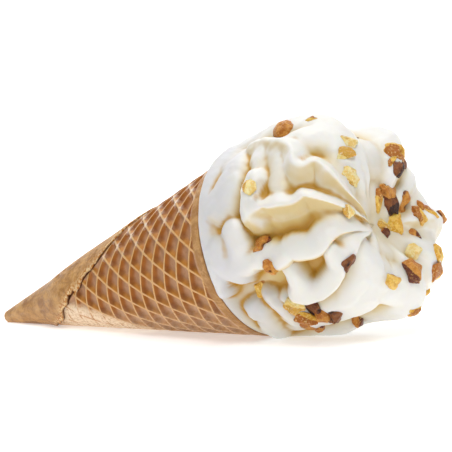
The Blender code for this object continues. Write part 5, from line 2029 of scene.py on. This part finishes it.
@dataclass
class Studio:
    """The white sweep, the lights and the camera."""

    cone: ConeFrame
    azimuth: float = 38.76           # the camera's, in degrees
    elevation: float = 4.0
    roll: float = -3.96
    distance: float = 412.7 * MM
    aim: tuple[float, float, float] = (105.7 * MM, 0.0, 31.8 * MM)    # from the sharp point
    lens: float = 111.5
    ambient: float = 0.20
    sweep_reach: float = 1.6
    sweep_height: float = 1.6
    sweep_width: float = 6.0
    sweep_rows: int = 60
    bend: float = 0.5

    def sweep(self) -> bpy.types.Object:
        """Model the floor that curves up into a backdrop behind the cone.

        Returns:
            The finished sweep.
        """
        piece = Workpiece.sheet("white_sweep", 3, self.sweep_rows + 1)
        steps = piece.points + 0.5
        arc = self.bend * math.pi / 2.0
        flat = 2.0 * self.sweep_reach - self.bend
        travel = steps[:, 1] * (flat + arc + self.sweep_height)
        turn = np.clip((travel - flat) / self.bend, 0.0, math.pi / 2.0)
        back = np.minimum(travel, flat) + self.bend * np.sin(turn)
        up = self.bend * (1.0 - np.cos(turn)) + np.maximum(0.0, travel - flat - arc)
        side = (steps[:, 0] - 0.5) * self.sweep_width
        looking = math.radians(self.azimuth)
        ahead = np.array([-math.sin(looking), math.cos(looking), 0.0])
        right = np.array([math.cos(looking), math.sin(looking), 0.0])
        depth = back - self.sweep_reach
        piece.points = np.outer(depth, ahead) + np.outer(side, right) + np.outer(up, (0.0, 0.0, 1.0))
        piece.finish(180.0)
        piece.dress(FloorFinish().make())
        return piece.obj

    def lights(self) -> None:
        """Add the lights."""
        for light in (
            SoftLight("key", (0.42, -0.45, 0.78), 4.6, 0.36),
            SoftLight("top", (0.00, 0.10, 0.80), 0.8, 0.50),
            SoftLight("backdrop", (-0.25, 0.35, 1.30), 16.0, 0.90, (-0.95, 1.20, 0.25)),
        ):
            light.build()
        world = bpy.data.worlds.new("studio")
        bpy.context.scene.world = world
        world.use_nodes = True
        sky = world.node_tree.nodes["Background"]
        sky.inputs["Color"].default_value = (1.0, 1.0, 1.0, 1.0)
        sky.inputs["Strength"].default_value = self.ambient

    def camera(self) -> None:
        """Add the camera at the photograph's viewing angle."""
        azimuth = math.radians(self.azimuth)
        elevation = math.radians(self.elevation)
        roll = math.radians(self.roll)
        right = Vector((math.cos(azimuth), math.sin(azimuth), 0.0))
        back = Vector((math.sin(azimuth) * math.cos(elevation), -math.cos(azimuth) * math.cos(elevation),
                       math.sin(elevation)))
        up = back.cross(right)
        turned_right = math.cos(roll) * right + math.sin(roll) * up
        turned_up = math.cos(roll) * up - math.sin(roll) * right
        data = bpy.data.cameras.new("camera")
        data.sensor_width = 36.0
        data.lens = self.lens
        data.clip_start = 0.01
        obj = bpy.data.objects.new("camera", data)
        bpy.context.scene.collection.objects.link(obj)
        place = Vector(self.cone.start) + Vector(self.aim) + back * self.distance
        basis = Matrix((turned_right, turned_up, back)).transposed().to_4x4()
        obj.matrix_world = Matrix.Translation(place) @ basis
        bpy.context.scene.camera = obj

    def build(self) -> None:
        """Set up the whole studio."""
        self.sweep()
        self.lights()
        self.camera()
        bpy.context.scene.view_settings.view_transform = "Standard"


# ---------------------------------------------------------------- putting it together
def report(piece: Workpiece) -> None:
    """Log one finished piece."""
    LOG.info("%s: %d triangles", piece.obj.name, piece.triangles)


def main() -> None:
    """Build the pieces in order and hang them on the frame."""
    logging.basicConfig(level=logging.INFO, format="%(message)s")
    cone = ConeFrame()
    Studio(cone).build()

    wafer = Wafer(cone).build()
    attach(wafer.obj, BODY)
    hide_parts("wafer_cone")
    report(wafer)

    shape = Cream(cone)
    cream = shape.build()
    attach(cream.obj, BODY)
    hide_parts("ice_cream")
    report(cream)

    for nuts in Nuts(cone, shape).build().values():
        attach(nuts.obj, BODY)
        report(nuts)


if __name__ == "__main__":
    main()
